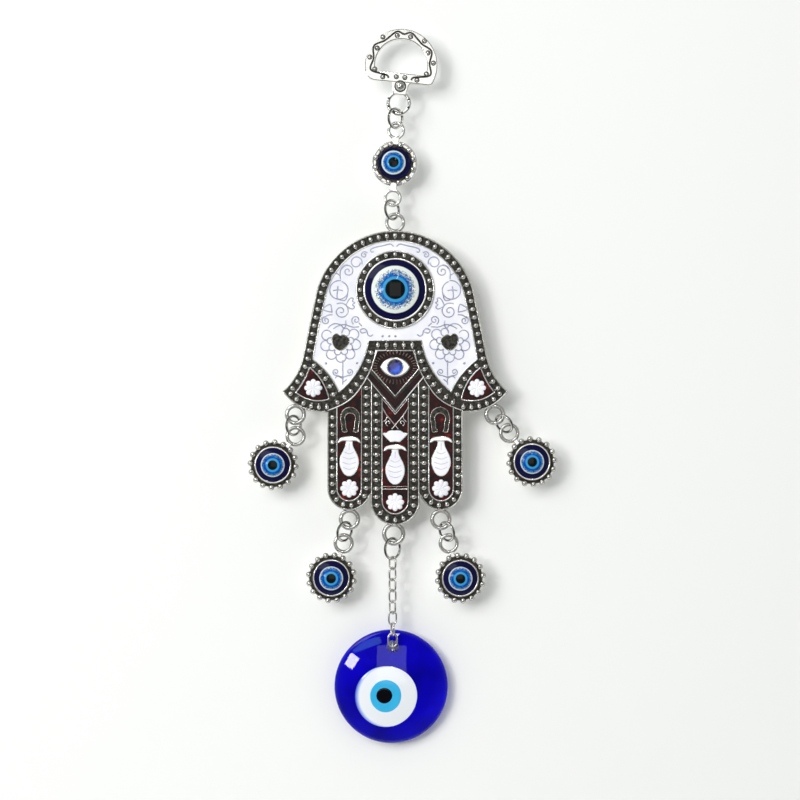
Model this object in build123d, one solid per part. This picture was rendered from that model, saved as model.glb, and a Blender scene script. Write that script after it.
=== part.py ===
"""Evil eye wall ornament: a cast hamsa hand with enamel, eye charms and a glass bead on a chain.

The ornament hangs upright and faces -Y.  X runs to the viewer's right and Z is up.  The origin is
the point of the hanger that rests on the nail.  All lengths are in millimetres.
"""
import os
from math import atan2, cos, degrees, hypot, radians, sin

from build123d import *

# ---------------------------------------------------------------- hanger
HANGER_CENTRE = (-0.2, -5.8)      # middle of the round band, (x, z)
HANGER_LEAN = 5.5                 # the band hangs slightly askew, degrees about Y
BAND_OUTER_R = 12.8
BAND_INNER_R = 9.05
BAND_CENTRE_DROP = 3.0            # the band's circles are centred this far below HANGER_CENTRE
BAND_FLAT = 9.2                   # straight foot of the D, below HANGER_CENTRE
OPENING_FLAT = 5.7                # straight foot of the opening
HANGER_HALF_THICK = 1.2
EYELET = (0.4, -16.15)            # eyelet centre in the hanger's own frame
NECK_WIDTH = 5.3
HANGER_DOME_R = 1.95
EYELET_R = 3.72                   # mean radius of the eyelet
EYELET_WIRE_R = 0.78
BAND_CORNERS = (4.0, 1.6)         # rounding of the foot's left and right corners
NECK_FACES = (-0.7, 1.0)          # back and front of the neck
NECK_LAP = 1.0                    # the neck's top reaches this far into the band
NECK_FOOT_RISE = 3.2              # its foot ends inside the eyelet's wire, above the eyelet's centre
DOME_DROP = 10.35                 # middle of the neck's dome, below HANGER_CENTRE

# ---------------------------------------------------------------- wire work
RING_R = 3.3                      # mean radius of a jump ring
RING_WIRE_R = 0.475
RING_TURN = 45.0                  # a hanging ring stands half-way between face-on and edge-on
RING_SHIFT = 0.6                  # its middle lies this far to the side of the loops it joins
RING_FORWARD = 0.25
CHAIN_RING_R = 3.6
CHAIN_RING_DROP = 5.15            # below the middle of the loop that carries it
LINK_LENGTH = 5.3
LINK_WIDTH = 3.7
LINK_WIRE_R = 0.35
LINK_SLACK = 0.05                 # free play at each contact between two links
LINK_TURNS = (-45, 45, -45, 42, -50, 30, -72, 0)  # each link's turn about its length

# ---------------------------------------------------------------- eye connector and charms
CONNECTOR_CENTRE = (-2.8, -43.1)
CONNECTOR_LEAN = 2.9
CONNECTOR_LOOP_RISE = 11.6
CONNECTOR_LOOP_DROP = 12.0
CONNECTOR_EYE_R = 5.0
CONNECTOR_RIM_R = 7.15            # the rim of balls stands round this circle
CONNECTOR_LOOP_R = 2.62           # mean radius of its two loops
CHARM_EYE_R = 5.85
CHARM_RIM_R = 8.1
CHARM_LOOP_RISE = 12.75
CHARM_LOOP_R = 2.95
MOUNT_LOOP_WIRE_R = 0.62
MOUNT_NECK = (2.4, 0.5)           # width and half thickness of the neck under a loop
MOUNT_NECK_LAP = 1.0              # how far it reaches in from the rim
BEZEL_WALL = 0.65
BALL_INSET = 0.1                  # the balls' centres lie this far inside the rim's edge
BALL_HEIGHT = 0.4
CONNECTOR_TRAY = (-0.9, 1.5)      # back of the tray and top of the bezel
CONNECTOR_BALLS = (12, 1.0)       # how many, and their radius
CONNECTOR_CROWN = (1.3, 3.0)      # rim and crown of the domed eye
CHARM_TRAY = (-1.0, 1.6)
CHARM_BALLS = (16, 0.95)
CHARM_CROWN = (1.4, 3.3)
CHARMS = {                        # name: (centre x, centre z, lean of the charm, side its ring bulges)
    "left_wing": (-45.3, -148.5, 38.0, -1),
    "right_wing": (45.2, -147.4, -38.0, 1),
    "left_finger": (-24.9, -188.0, 19.5, -1),
    "right_finger": (20.2, -188.1, -18.5, 1),
}

# ---------------------------------------------------------------- hamsa hand
HAMSA_X = -2.6                    # centre line of the hand
HAMSA_TOP = -66.6                 # apex of its arch
ARCH_R = 28.5
BORDER = 3.5                      # width of the beaded border
BACK = -1.2                       # heights towards the viewer, from the plane of the loops
POCKET_FLOOR = 0.6
ENAMEL_TOP = 1.2
RIM_TOP = 1.5
EYE_DROP = 20.7                   # centre of the large eye below the apex
EYE_R = 10.35
EYE_BEZEL_R = 13.75
STONE_DROP = 47.7                 # the small eye with its rhinestone
STONE_R = 2.7
FINGER_X = 16.05                  # axis of a side finger
SIDE_FINGER = (7.65, 90.15)       # half width, depth of the tip circle's centre
MIDDLE_FINGER = (8.6, 94.4)
HAMSA_LOOPS = {                   # name: (x, depth, mean radius, wire radius)
    "top": (0.0, -2.9, 2.95, 0.63),
    "left_wing": (-34.9, 64.3, 3.0, 0.75),
    "right_wing": (34.9, 64.3, 3.0, 0.75),
    "left_finger": (-16.0, 101.0, 3.05, 0.75),
    "right_finger": (16.0, 101.0, 3.05, 0.75),
    "middle_finger": (-0.5, 106.1, 3.35, 0.8),
}

# ---------------------------------------------------------------- glass bead
BEAD_CENTRE = (-4.0, -226.6)
BEAD_R = 20.0
BEAD_BACK_SET = 4.2               # the bead's middle plane lies this far behind the chain
BEAD_FRONT_CROWN = 4.4
BEAD_BACK_CROWN = 2.5
BEAD_EDGE = 1.2
BEAD_HOLE_R = 2.1
CHAIN_X = -3.5
IRIS_CENTRE = (-5.8, -229.7)
IRIS = {"bead_white": (10.8, 1.5), "bead_light_blue": (5.55, 1.1), "bead_pupil": (2.85, 0.7)}
CLEAR = 0.02                      # assembly gap round pieces that sit in a recess


def front(sketch, low, high):
    """Extrude a sketch drawn as (x, z), from one height towards the viewer to another."""
    return extrude(Plane.XZ.offset(low) * sketch, amount=high - low)


def at(x, z, lean=0.0):
    """Place a piece drawn about its own middle, leaning clockwise as the viewer sees it."""
    return Pos(x, 0, z) * Rot(0, lean, 0)


def hamsa_at():
    return at(HAMSA_X, HAMSA_TOP)


def wire_ring(radius, wire_radius):
    """A round-wire ring that faces the viewer."""
    return Rot(90, 0, 0) * Torus(radius, wire_radius)


def polar(radius, angle):
    return (radius * cos(radians(angle)), radius * sin(radians(angle)))


def ball_ring(count, ring_radius, ball_radius, height):
    """Balls cast round the rim of an eye mount."""
    balls = []
    for i in range(count):
        x, z = polar(ring_radius, (i + 0.5) * 360 / count)
        balls.append(Pos(x, -height, z) * Sphere(ball_radius))
    return balls


def turned(profile):
    """A solid of revolution about Y from a profile of (radius, height towards the viewer)."""
    return Rot(90, 0, 0) * revolve(Plane.XZ * profile, Axis.Z)


def on_crown(radius, rim, crown):
    """The point half-way out on a spherical crown that falls from crown to rim at a radius."""
    rise = crown - rim
    sphere_r = (radius ** 2 + rise ** 2) / (2 * rise)
    return (radius / 2, crown - sphere_r + (sphere_r ** 2 - radius ** 2 / 4) ** 0.5)


def cabochon(radius, foot, rim, crown):
    """A domed disc: flat foot, short upright rim and a round crown."""
    with BuildSketch() as profile:
        with BuildLine():
            Polyline((0, crown), (0, foot), (radius, foot), (radius, rim))
            ThreePointArc((radius, rim), on_crown(radius, rim, crown), (0, crown))
        make_face()
    return turned(profile.sketch)


# ---------------------------------------------------------------- hanger
def hanger_ring():
    """D-shaped band with a neck, a dome and the eyelet under it."""
    band_centre = Pos(0, -BAND_CENTRE_DROP)
    keep = Pos(0, -BAND_FLAT + 15) * Rectangle(40, 30)
    outer = (band_centre * Circle(BAND_OUTER_R)) & keep
    corners = outer.vertices().sort_by(Axis.X)
    outer = fillet(corners[-1], BAND_CORNERS[1])
    outer = fillet(outer.vertices().sort_by(Axis.X)[0], BAND_CORNERS[0])
    hole_keep = Pos(0, -OPENING_FLAT + 15) * Rectangle(40, 30)
    hole = (band_centre * Circle(BAND_INNER_R)) & hole_keep
    band = front(outer - hole, -HANGER_HALF_THICK, HANGER_HALF_THICK)
    neck_top = -BAND_FLAT + NECK_LAP
    neck_foot = EYELET[1] + NECK_FOOT_RISE
    neck = Pos(EYELET[0], (neck_top + neck_foot) / 2) * Rectangle(NECK_WIDTH, neck_top - neck_foot)
    band += front(neck, *NECK_FACES)
    dome_seat = Pos(EYELET[0], -HANGER_HALF_THICK, -DOME_DROP)
    band += dome_seat * Rot(90, 0, 0) * Sphere(HANGER_DOME_R, arc_size1=0)
    band += Pos(EYELET[0], 0, EYELET[1]) * wire_ring(EYELET_R, EYELET_WIRE_R)
    return at(*HANGER_CENTRE, HANGER_LEAN) * band


# ---------------------------------------------------------------- eye mounts
def eye_mount(eye_radius, rim_radius, faces, balls):
    """A round tray with a thin bezel and a rim of balls."""
    back, bezel_top = faces
    count, ball_radius = balls
    bezel = Circle(eye_radius + BEZEL_WALL) - Circle(eye_radius + CLEAR)
    tray = front(Circle(rim_radius), back, POCKET_FLOOR)
    tray += front(bezel, POCKET_FLOOR, bezel_top)
    for ball in ball_ring(count, rim_radius - BALL_INSET, ball_radius, BALL_HEIGHT):
        tray += ball
    return tray


def loop_on(z, radius, rim_radius):
    """A wire loop above or below an eye mount, with the short neck that joins it."""
    loop = Pos(0, 0, z) * wire_ring(radius, MOUNT_LOOP_WIRE_R)
    neck_width, neck_half_thick = MOUNT_NECK
    outer = abs(z) - radius
    inner = rim_radius - MOUNT_NECK_LAP
    side = 1 if z > 0 else -1
    neck = Pos(0, side * (outer + inner) / 2) * Rectangle(neck_width, outer - inner)
    return loop + front(neck, -neck_half_thick, neck_half_thick)


def connector_frame():
    frame = eye_mount(CONNECTOR_EYE_R, CONNECTOR_RIM_R, CONNECTOR_TRAY, CONNECTOR_BALLS)
    frame += loop_on(CONNECTOR_LOOP_RISE, CONNECTOR_LOOP_R, CONNECTOR_RIM_R)
    frame += loop_on(-CONNECTOR_LOOP_DROP, CONNECTOR_LOOP_R, CONNECTOR_RIM_R)
    return at(*CONNECTOR_CENTRE, CONNECTOR_LEAN) * frame


def connector_eye():
    eye = cabochon(CONNECTOR_EYE_R, POCKET_FLOOR, *CONNECTOR_CROWN)
    return at(*CONNECTOR_CENTRE, CONNECTOR_LEAN) * eye


def charm_frame(name):
    x, z, lean, _ = CHARMS[name]
    frame = eye_mount(CHARM_EYE_R, CHARM_RIM_R, CHARM_TRAY, CHARM_BALLS)
    frame += loop_on(CHARM_LOOP_RISE, CHARM_LOOP_R, CHARM_RIM_R)
    return at(x, z, lean) * frame


def charm_eye(name):
    x, z, lean, _ = CHARMS[name]
    return at(x, z, lean) * cabochon(CHARM_EYE_R, POCKET_FLOOR, *CHARM_CROWN)


# ---------------------------------------------------------------- hamsa outlines, (x, -depth)
def both_halves(half):
    return half + mirror(half, Plane.YZ)


def hand_outline():
    """Arch, flared wings with a pointed tip, and three round-ended fingers."""
    side_half, side_tip = SIDE_FINGER
    middle_half, middle_tip = MIDDLE_FINGER
    outer_x = FINGER_X + side_half
    inner_drop = side_tip + (side_half ** 2 - (FINGER_X - middle_half) ** 2) ** 0.5
    with BuildSketch() as half:
        with BuildLine():
            CenterArc((0, -ARCH_R), ARCH_R, 15.25, 74.75)
            arch_foot = (ARCH_R * cos(radians(15.25)), -ARCH_R + ARCH_R * sin(radians(15.25)))
            ThreePointArc(arch_foot, (30.3, -34.5), (32.3, -44.3))
            ThreePointArc((32.3, -44.3), (34.9, -50.7), (39.4, -56.2))
            ThreePointArc((39.4, -56.2), (33.2, -61.7), (outer_x, -63.4))
            Line((outer_x, -63.4), (outer_x, -side_tip))
            finger_foot = (FINGER_X, -side_tip - side_half)
            ThreePointArc((outer_x, -side_tip), finger_foot, (middle_half, -inner_drop))
            Line((middle_half, -inner_drop), (middle_half, -middle_tip))
            tip = (0, -middle_tip - middle_half)
            bend = 0.5 ** 0.5 * middle_half
            ThreePointArc((middle_half, -middle_tip), (bend, -middle_tip - bend), tip)
            Line(tip, (0, 0))
        make_face()
    return both_halves(half.sketch)


def white_field_outline():
    """The white enamel: inside the arch, round the large eye, down to a point in each wing."""
    inner_r = ARCH_R - BORDER
    with BuildSketch() as half:
        with BuildLine():
            CenterArc((0, -ARCH_R), inner_r, 15.25, 74.75)
            foot = (inner_r * cos(radians(15.25)), -ARCH_R + inner_r * sin(radians(15.25)))
            ThreePointArc(foot, (26.9, -34.6), (28.8, -45.0))
            ThreePointArc((28.8, -45.0), (23.3, -50.2), (19.6, -56.4))
            ThreePointArc((19.6, -56.4), (12.9, -48.7), (9.2, -38.4))
            Polyline((9.2, -38.4), (0, -38.4), (0, -ARCH_R + inner_r))
        make_face()
    return both_halves(half.sketch) - Pos(0, -EYE_DROP) * Circle(EYE_BEZEL_R)


def wing_corner_outline():
    """The red triangle with bowed sides in a wing's tip."""
    with BuildSketch() as corner:
        with BuildLine():
            ThreePointArc((29.9, -47.8), (31.9, -52.4), (34.7, -56.5))
            ThreePointArc((34.7, -56.5), (29.4, -59.2), (23.1, -58.9))
            ThreePointArc((23.1, -58.9), (25.3, -53.0), (29.9, -47.8))
        make_face()
    return corner.sketch


def pentagon_outline():
    """The dark shield that holds the small eye."""
    with BuildSketch() as shield:
        with BuildLine():
            Polyline((-6.3, -41.9), (6.3, -41.9), (8.4, -48.3), (0, -57.9), (-8.4, -48.3), close=True)
        make_face()
    return shield.sketch


def chevron_outline():
    """The dark V between the shield and the middle finger."""
    with BuildSketch() as chevron:
        with BuildLine():
            upper = [(-8.9, -49.6), (0, -59.0), (8.9, -49.6)]
            lower = [(9.6, -50.7), (0, -62.2), (-9.6, -50.7)]
            Polyline(*upper, *lower, close=True)
        make_face()
    return chevron.sketch


def side_finger_outline():
    half, tip = SIDE_FINGER
    inner = half - BORDER + 0.15
    with BuildSketch() as cell:
        with BuildLine():
            low = (FINGER_X - inner, -tip)
            high = (FINGER_X + inner, -tip)
            Line(low, (low[0], -54.2))
            ThreePointArc((low[0], -54.2), (15.4, -58.7), (high[0], -61.6))
            Line((high[0], -61.6), high)
            ThreePointArc(high, (FINGER_X, -tip - inner), low)
        make_face()
    return cell.sketch


def middle_finger_outline():
    tip = MIDDLE_FINGER[1]
    inner = 4.6
    with BuildSketch() as cell:
        with BuildLine():
            Polyline((-inner, -tip), (-inner, -58.6), (0, -64.2), (inner, -58.6), (inner, -tip))
            ThreePointArc((inner, -tip), (0, -tip - inner), (-inner, -tip))
        make_face()
    return cell.sketch


def almond_outline():
    """The small eye's silver almond, 10.6 wide and 7 high."""
    with BuildSketch() as almond:
        with BuildLine():
            ThreePointArc((-5.3, 0), (0, 3.5), (5.3, 0))
            ThreePointArc((5.3, 0), (0, -3.5), (-5.3, 0))
        make_face()
    return Pos(0, -STONE_DROP) * almond.sketch


def mirrored(sketch):
    """The same outline on the hand's other side, remade so that its face still looks forward."""
    return make_face(mirror(sketch, Plane.YZ).edges())


def shrunk(sketch):
    """A cell's outline with the assembly gap taken off all round."""
    return offset(sketch, -CLEAR)


def enamel_cells():
    """Outline of each recess that is filled with enamel, by the name of the filling."""
    return {
        "white_enamel_field": white_field_outline(),
        "left_wing_red_enamel": mirrored(wing_corner_outline()),
        "right_wing_red_enamel": wing_corner_outline(),
        "shield_enamel": pentagon_outline() - almond_outline(),
        "chevron_enamel": chevron_outline(),
        "left_finger_red_enamel": mirrored(side_finger_outline()),
        "middle_finger_red_enamel": middle_finger_outline(),
        "right_finger_red_enamel": side_finger_outline(),
    }


def hamsa_plate():
    """The cast hand: slab, recesses for enamel, bezels for both eyes, and six loops."""
    plate = front(hand_outline(), BACK, RIM_TOP)
    for outline in enamel_cells().values():
        plate -= front(outline, POCKET_FLOOR, RIM_TOP + 1)
    eye_seat = Pos(0, -EYE_DROP)
    plate += front(eye_seat * (Circle(EYE_BEZEL_R) - Circle(EYE_R + CLEAR)), POCKET_FLOOR, RIM_TOP + 0.8)
    plate -= front(eye_seat * Circle(EYE_R + CLEAR), POCKET_FLOOR, RIM_TOP + 2)
    stone_seat = Pos(0, -STONE_DROP) * Circle(STONE_R + CLEAR)
    plate += front(almond_outline() - stone_seat, POCKET_FLOOR, RIM_TOP + 0.2)
    plate -= front(stone_seat, ENAMEL_TOP, RIM_TOP + 1)
    for x, depth, radius, wire_radius in HAMSA_LOOPS.values():
        plate += Pos(x, 0, -depth) * wire_ring(radius, wire_radius)
    return hamsa_at() * plate


def enamel(name):
    return hamsa_at() * front(shrunk(enamel_cells()[name]), POCKET_FLOOR, ENAMEL_TOP)


def flower_outline(radius):
    """An eight-petalled rosette."""
    rosette = Circle(radius * 0.72)
    for i in range(8):
        rosette += Pos(*polar(radius * 0.7, i * 45)) * Circle(radius * 0.3)
    return rosette


def fish_outline():
    """A stylised fish standing on its nose: T-shaped tail, narrow neck and an oval body."""
    with BuildSketch() as fish:
        with BuildLine():
            ThreePointArc((-3.6, 6.6), (0, 7.6), (3.6, 6.6))
            ThreePointArc((3.6, 6.6), (2.2, 5.9), (1.2, 4.4))
            ThreePointArc((1.2, 4.4), (3.2, -0.6), (0, -6.0))
            ThreePointArc((0, -6.0), (-3.2, -0.6), (-1.2, 4.4))
            ThreePointArc((-1.2, 4.4), (-2.2, 5.9), (-3.6, 6.6))
        make_face()
    return fish.sketch


def half_moon_outline():
    with BuildSketch() as moon:
        with BuildLine():
            ThreePointArc((-4.1, -1.7), (0, 1.8), (4.1, -1.7))
            ThreePointArc((4.1, -1.7), (0, -0.9), (-4.1, -1.7))
        make_face()
    return moon.sketch


def white_flowers():
    """One rosette in each wing tip and at the end of each finger."""
    places = [(-28.6, 55.2), (28.6, 55.2), (-FINGER_X, 90.1), (0, 94.9), (FINGER_X, 90.1)]
    flowers = [Pos(x, -depth) * flower_outline(3.0) for x, depth in places]
    return hamsa_at() * Compound([front(f, ENAMEL_TOP, RIM_TOP).solid() for f in flowers])


def white_fish():
    """A fish on each finger, and the half moon above the middle one."""
    places = [(-FINGER_X, 79.4), (0, 81.8), (FINGER_X, 79.4)]
    shapes = [Pos(x, -depth) * fish_outline() for x, depth in places]
    shapes.append(Pos(0, -71.6) * half_moon_outline())
    return hamsa_at() * Compound([front(s, ENAMEL_TOP, RIM_TOP).solid() for s in shapes])


def horseshoes():
    """Cast horseshoes at the top of the side fingers, open downwards."""
    bend = Pos(0, 1.0) * (Circle(3.3) - Circle(2.1))
    legs = Pos(0, -1.4) * (Rectangle(6.6, 4.8) - Rectangle(4.2, 4.8))
    upper = Pos(0, 3.0) * Rectangle(8, 4)
    shoe = (bend & upper) + legs
    shapes = [Pos(x, -66.3) * shoe for x in (-15.8, 15.8)]
    return hamsa_at() * Compound([front(s, ENAMEL_TOP, RIM_TOP).solid() for s in shapes])


def centre_eye_disc():
    """The printed disc under the large eye's dome."""
    return hamsa_at() * (Pos(0, 0, -EYE_DROP) * front(Circle(EYE_R), POCKET_FLOOR, 1.5))


def centre_eye_dome():
    return hamsa_at() * (Pos(0, 0, -EYE_DROP) * cabochon(EYE_R, 1.5, 2.2, 5.0))


def rhinestone():
    """A faceted stone: pointed crown cut flat at the table."""
    seat = Pos(0, -STONE_DROP) * RegularPolygon(STONE_R, 12)
    foot = front(seat, ENAMEL_TOP, RIM_TOP + 0.2)
    crown = extrude(Plane.XZ.offset(RIM_TOP + 0.2) * seat, amount=1.1, taper=42)
    return hamsa_at() * (foot + crown)


# ---------------------------------------------------------------- loops, rings and chain
def hamsa_loop(name):
    """A loop's centre (x, z), mean radius and wire radius in the ornament's frame."""
    x, depth, radius, wire_radius = HAMSA_LOOPS[name]
    return (HAMSA_X + x, HAMSA_TOP - depth), radius, wire_radius


def leaning(centre, lean, point):
    """Where a point of a leaning piece lies, both as (x, z)."""
    turn = radians(lean)
    x = centre[0] + point[0] * cos(turn) + point[1] * sin(turn)
    z = centre[1] - point[0] * sin(turn) + point[1] * cos(turn)
    return (x, z)


def charm_loop(name):
    x, z, lean, _ = CHARMS[name]
    return leaning((x, z), lean, (0, CHARM_LOOP_RISE)), CHARM_LOOP_R


def joining_ring(upper, upper_radius, lower, lower_radius, side):
    """A jump ring through two loops, half turned, its front half bulging to one side."""
    run = hypot(lower[0] - upper[0], lower[1] - upper[1])
    dx = (lower[0] - upper[0]) / run
    dz = (lower[1] - upper[1]) / run
    middle = (upper_radius + run - lower_radius) / 2
    x = upper[0] + dx * middle + side * RING_SHIFT
    z = upper[1] + dz * middle
    lean = degrees(atan2(-dx, -dz))
    turn = Rot(0, lean, 0) * Rot(0, 0, -side * RING_TURN)
    return Pos(x, -RING_FORWARD, z) * turn * wire_ring(RING_R, RING_WIRE_R)


def top_jump_ring():
    eyelet = leaning(HANGER_CENTRE, HANGER_LEAN, EYELET)
    loop = leaning(CONNECTOR_CENTRE, CONNECTOR_LEAN, (0, CONNECTOR_LOOP_RISE))
    return joining_ring(eyelet, EYELET_R, loop, CONNECTOR_LOOP_R, -1)


def middle_jump_ring():
    loop = leaning(CONNECTOR_CENTRE, CONNECTOR_LEAN, (0, -CONNECTOR_LOOP_DROP))
    lower, radius, _ = hamsa_loop("top")
    return joining_ring(loop, CONNECTOR_LOOP_R, lower, radius, -1)


def charm_jump_ring(name):
    upper, radius, _ = hamsa_loop(name)
    lower, lower_radius = charm_loop(name)
    return joining_ring(upper, radius, lower, lower_radius, CHARMS[name][3])


def chain_ring_centre():
    (_, z), _, _ = hamsa_loop("middle_finger")
    return (CHAIN_X, z - CHAIN_RING_DROP)


def chain_jump_ring():
    x, z = chain_ring_centre()
    return Pos(x, 0, z) * Rot(0, 0, RING_TURN) * wire_ring(CHAIN_RING_R, RING_WIRE_R)


def link():
    """One oval chain link, face-on, its middle at the origin."""
    straight = LINK_LENGTH - LINK_WIDTH
    bend_r = LINK_WIDTH / 2 - LINK_WIRE_R
    with BuildLine() as path:
        Line((-bend_r, -straight / 2), (-bend_r, straight / 2))
        ThreePointArc((-bend_r, straight / 2), (0, straight / 2 + bend_r), (bend_r, straight / 2))
        Line((bend_r, straight / 2), (bend_r, -straight / 2))
        ThreePointArc((bend_r, -straight / 2), (0, -straight / 2 - bend_r), (-bend_r, -straight / 2))
    section = Plane(origin=(-bend_r, 0, 0), z_dir=(0, 1, 0)) * Circle(LINK_WIRE_R)
    return Plane.XZ * sweep(section, path.wire())


def link_reach():
    """Distance between the wire centres at a link's two ends."""
    return LINK_LENGTH - 2 * LINK_WIRE_R


def link_pitch():
    return link_reach() - 2 * LINK_WIRE_R - LINK_SLACK


def link_top(number):
    """Height of the wire centre at a link's top end; the first link is number 1."""
    ring_foot = chain_ring_centre()[1] - CHAIN_RING_R
    first = ring_foot + RING_WIRE_R + LINK_WIRE_R + LINK_SLACK
    return first - (number - 1) * link_pitch()


def hanging_link(number):
    middle = link_top(number) - link_reach() / 2
    return Pos(CHAIN_X, 0, middle) * Rot(0, 0, LINK_TURNS[number - 1]) * link()


def hole_height():
    """Height of the bead's hole, just under the foot of the last free link."""
    return link_top(len(LINK_TURNS)) - link_reach() - 0.15


def hole_link_front():
    """Lies in the hole, upright, with the last free link through its front end."""
    depth = -2 * LINK_WIRE_R - LINK_SLACK + link_reach() / 2
    return Pos(CHAIN_X, depth, hole_height()) * Rot(0, 0, 90) * Rot(0, 90, 0) * link()


def hole_link_back():
    """Lies flat behind the first one and comes out of the back of the hole."""
    depth = -2 * LINK_WIRE_R - LINK_SLACK + link_reach() + link_pitch() - link_reach() / 2
    return Pos(CHAIN_X, depth, hole_height()) * Rot(90, 0, 0) * link()


def bead_stop_ring():
    """A jump ring behind the bead, too large to slip back through the hole."""
    link_foot = -2 * LINK_WIRE_R - LINK_SLACK + link_reach() + link_pitch()
    depth = link_foot - LINK_WIRE_R - RING_WIRE_R - LINK_SLACK
    return Pos(CHAIN_X + RING_R, depth, hole_height()) * wire_ring(RING_R, RING_WIRE_R)


# ---------------------------------------------------------------- glass bead
def bead_blank():
    """The whole lens of the bead about its own middle, with a rounded edge."""
    edge_r = BEAD_R - 0.7
    with BuildSketch() as profile:
        with BuildLine():
            front_mid = on_crown(edge_r, BEAD_EDGE, BEAD_FRONT_CROWN)
            back_x, back_mid = on_crown(edge_r, BEAD_EDGE, BEAD_BACK_CROWN)
            Line((0, -BEAD_BACK_CROWN), (0, BEAD_FRONT_CROWN))
            ThreePointArc((0, BEAD_FRONT_CROWN), front_mid, (edge_r, BEAD_EDGE))
            ThreePointArc((edge_r, BEAD_EDGE), (BEAD_R, 0), (edge_r, -BEAD_EDGE))
            ThreePointArc((edge_r, -BEAD_EDGE), (back_x, -back_mid), (0, -BEAD_BACK_CROWN))
        make_face()
    return Pos(BEAD_CENTRE[0], BEAD_BACK_SET, BEAD_CENTRE[1]) * turned(profile.sketch)


def surface_disc(radius, depth):
    """A disc of the bead's front surface, melted in to a depth, round the iris centre."""
    column = Pos(IRIS_CENTRE[0], 0, IRIS_CENTRE[1]) * (Rot(90, 0, 0) * Cylinder(radius, 30))
    blank = bead_blank()
    skin = blank - Pos(0, depth, 0) * blank
    disc = skin & column
    return disc.solids().sort_by(Axis.Y)[0]


def bead_piece(name):
    """One colour of the eye: its own disc less the smaller disc melted into it."""
    radii = list(IRIS.values())
    index = list(IRIS).index(name)
    piece = surface_disc(*radii[index])
    if index + 1 < len(radii):
        piece -= surface_disc(*radii[index + 1])
    return piece


def bead_glass():
    glass = bead_blank() - surface_disc(*IRIS["bead_white"])
    hole = Pos(CHAIN_X, BEAD_BACK_SET, hole_height()) * (Rot(90, 0, 0) * Cylinder(BEAD_HOLE_R, 20))
    return glass - hole


# ---------------------------------------------------------------- build and write every node
def all_nodes():
    nodes = {
        "hanger_ring": hanger_ring(),
        "top_jump_ring": top_jump_ring(),
        "connector_frame": connector_frame(),
        "connector_eye": connector_eye(),
        "middle_jump_ring": middle_jump_ring(),
        "hamsa_plate": hamsa_plate(),
        "white_flowers": white_flowers(),
        "white_fish": white_fish(),
        "horseshoes": horseshoes(),
        "centre_eye_disc": centre_eye_disc(),
        "centre_eye_dome": centre_eye_dome(),
        "rhinestone": rhinestone(),
        "chain_jump_ring": chain_jump_ring(),
        "hole_link_front": hole_link_front(),
        "hole_link_back": hole_link_back(),
        "bead_stop_ring": bead_stop_ring(),
        "bead_glass": bead_glass(),
    }
    for name in enamel_cells():
        nodes[name] = enamel(name)
    for name in CHARMS:
        nodes[name + "_jump_ring"] = charm_jump_ring(name)
        nodes[name + "_charm_frame"] = charm_frame(name)
        nodes[name + "_charm_eye"] = charm_eye(name)
    for number in range(1, len(LINK_TURNS) + 1):
        nodes[f"chain_link_{number}"] = hanging_link(number)
    for name in IRIS:
        nodes[name] = bead_piece(name)
    return nodes


if __name__ == "__main__":
    os.makedirs("parts", exist_ok=True)
    for node, shape in all_nodes().items():
        export_step(shape, f"parts/{node}.step")
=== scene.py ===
from cmath import phase
from math import acos, asin, atan2, cos, degrees, hypot, pi, radians, sin

import bmesh
import bpy
import numpy
from mathutils import Matrix, Vector


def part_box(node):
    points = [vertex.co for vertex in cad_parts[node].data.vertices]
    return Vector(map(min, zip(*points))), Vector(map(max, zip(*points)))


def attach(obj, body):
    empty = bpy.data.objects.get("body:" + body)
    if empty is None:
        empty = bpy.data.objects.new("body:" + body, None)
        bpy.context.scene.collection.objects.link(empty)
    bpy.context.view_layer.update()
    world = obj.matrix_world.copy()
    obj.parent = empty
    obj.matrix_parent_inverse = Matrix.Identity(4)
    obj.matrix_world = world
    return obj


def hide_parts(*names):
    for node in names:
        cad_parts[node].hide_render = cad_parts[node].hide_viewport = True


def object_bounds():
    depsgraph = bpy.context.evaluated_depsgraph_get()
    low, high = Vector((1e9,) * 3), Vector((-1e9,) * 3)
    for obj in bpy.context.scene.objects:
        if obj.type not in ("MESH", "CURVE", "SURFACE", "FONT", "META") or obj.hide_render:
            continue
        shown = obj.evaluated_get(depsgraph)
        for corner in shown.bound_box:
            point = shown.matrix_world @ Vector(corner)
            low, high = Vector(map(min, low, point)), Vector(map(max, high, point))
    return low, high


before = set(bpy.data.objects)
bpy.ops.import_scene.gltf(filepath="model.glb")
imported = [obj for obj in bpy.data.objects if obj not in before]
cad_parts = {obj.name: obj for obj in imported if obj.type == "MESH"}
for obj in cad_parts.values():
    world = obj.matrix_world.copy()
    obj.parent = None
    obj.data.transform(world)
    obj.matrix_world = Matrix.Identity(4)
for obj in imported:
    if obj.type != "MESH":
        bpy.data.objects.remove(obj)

MM = 0.001
CAD_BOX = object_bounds()
WALL_GAP = 0.6 * MM              # the wall stands this far behind the ornament's rearmost point

# The hand's own measures
EYE_DROP = 20.7                   # large eye's centre below the apex of the arch
BORDER = 3.5                      # width of a beaded border
BEAD_R = 0.97                     # cast beads in the borders
BEAD_PITCH = 2.95
RIM_R = 0.27                      # half-round rims along both edges of a border
FLOOR = 0.85                      # height of the dark channel between the rims
RIM_HEIGHT = 1.22                 # height of a rim's middle
ENAMEL = 1.2                      # height of the enamel's surface
FINGER_X = 16.05
SIDE_TIP = 90.15
MIDDLE_TIP = 94.4
SHARED_RIM_X = 8.25               # rim between the middle finger and a side finger

CONNECTOR_LEAN = 2.9
HANGER_LEAN = 5.5
HANGER_R = 12.8

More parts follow.
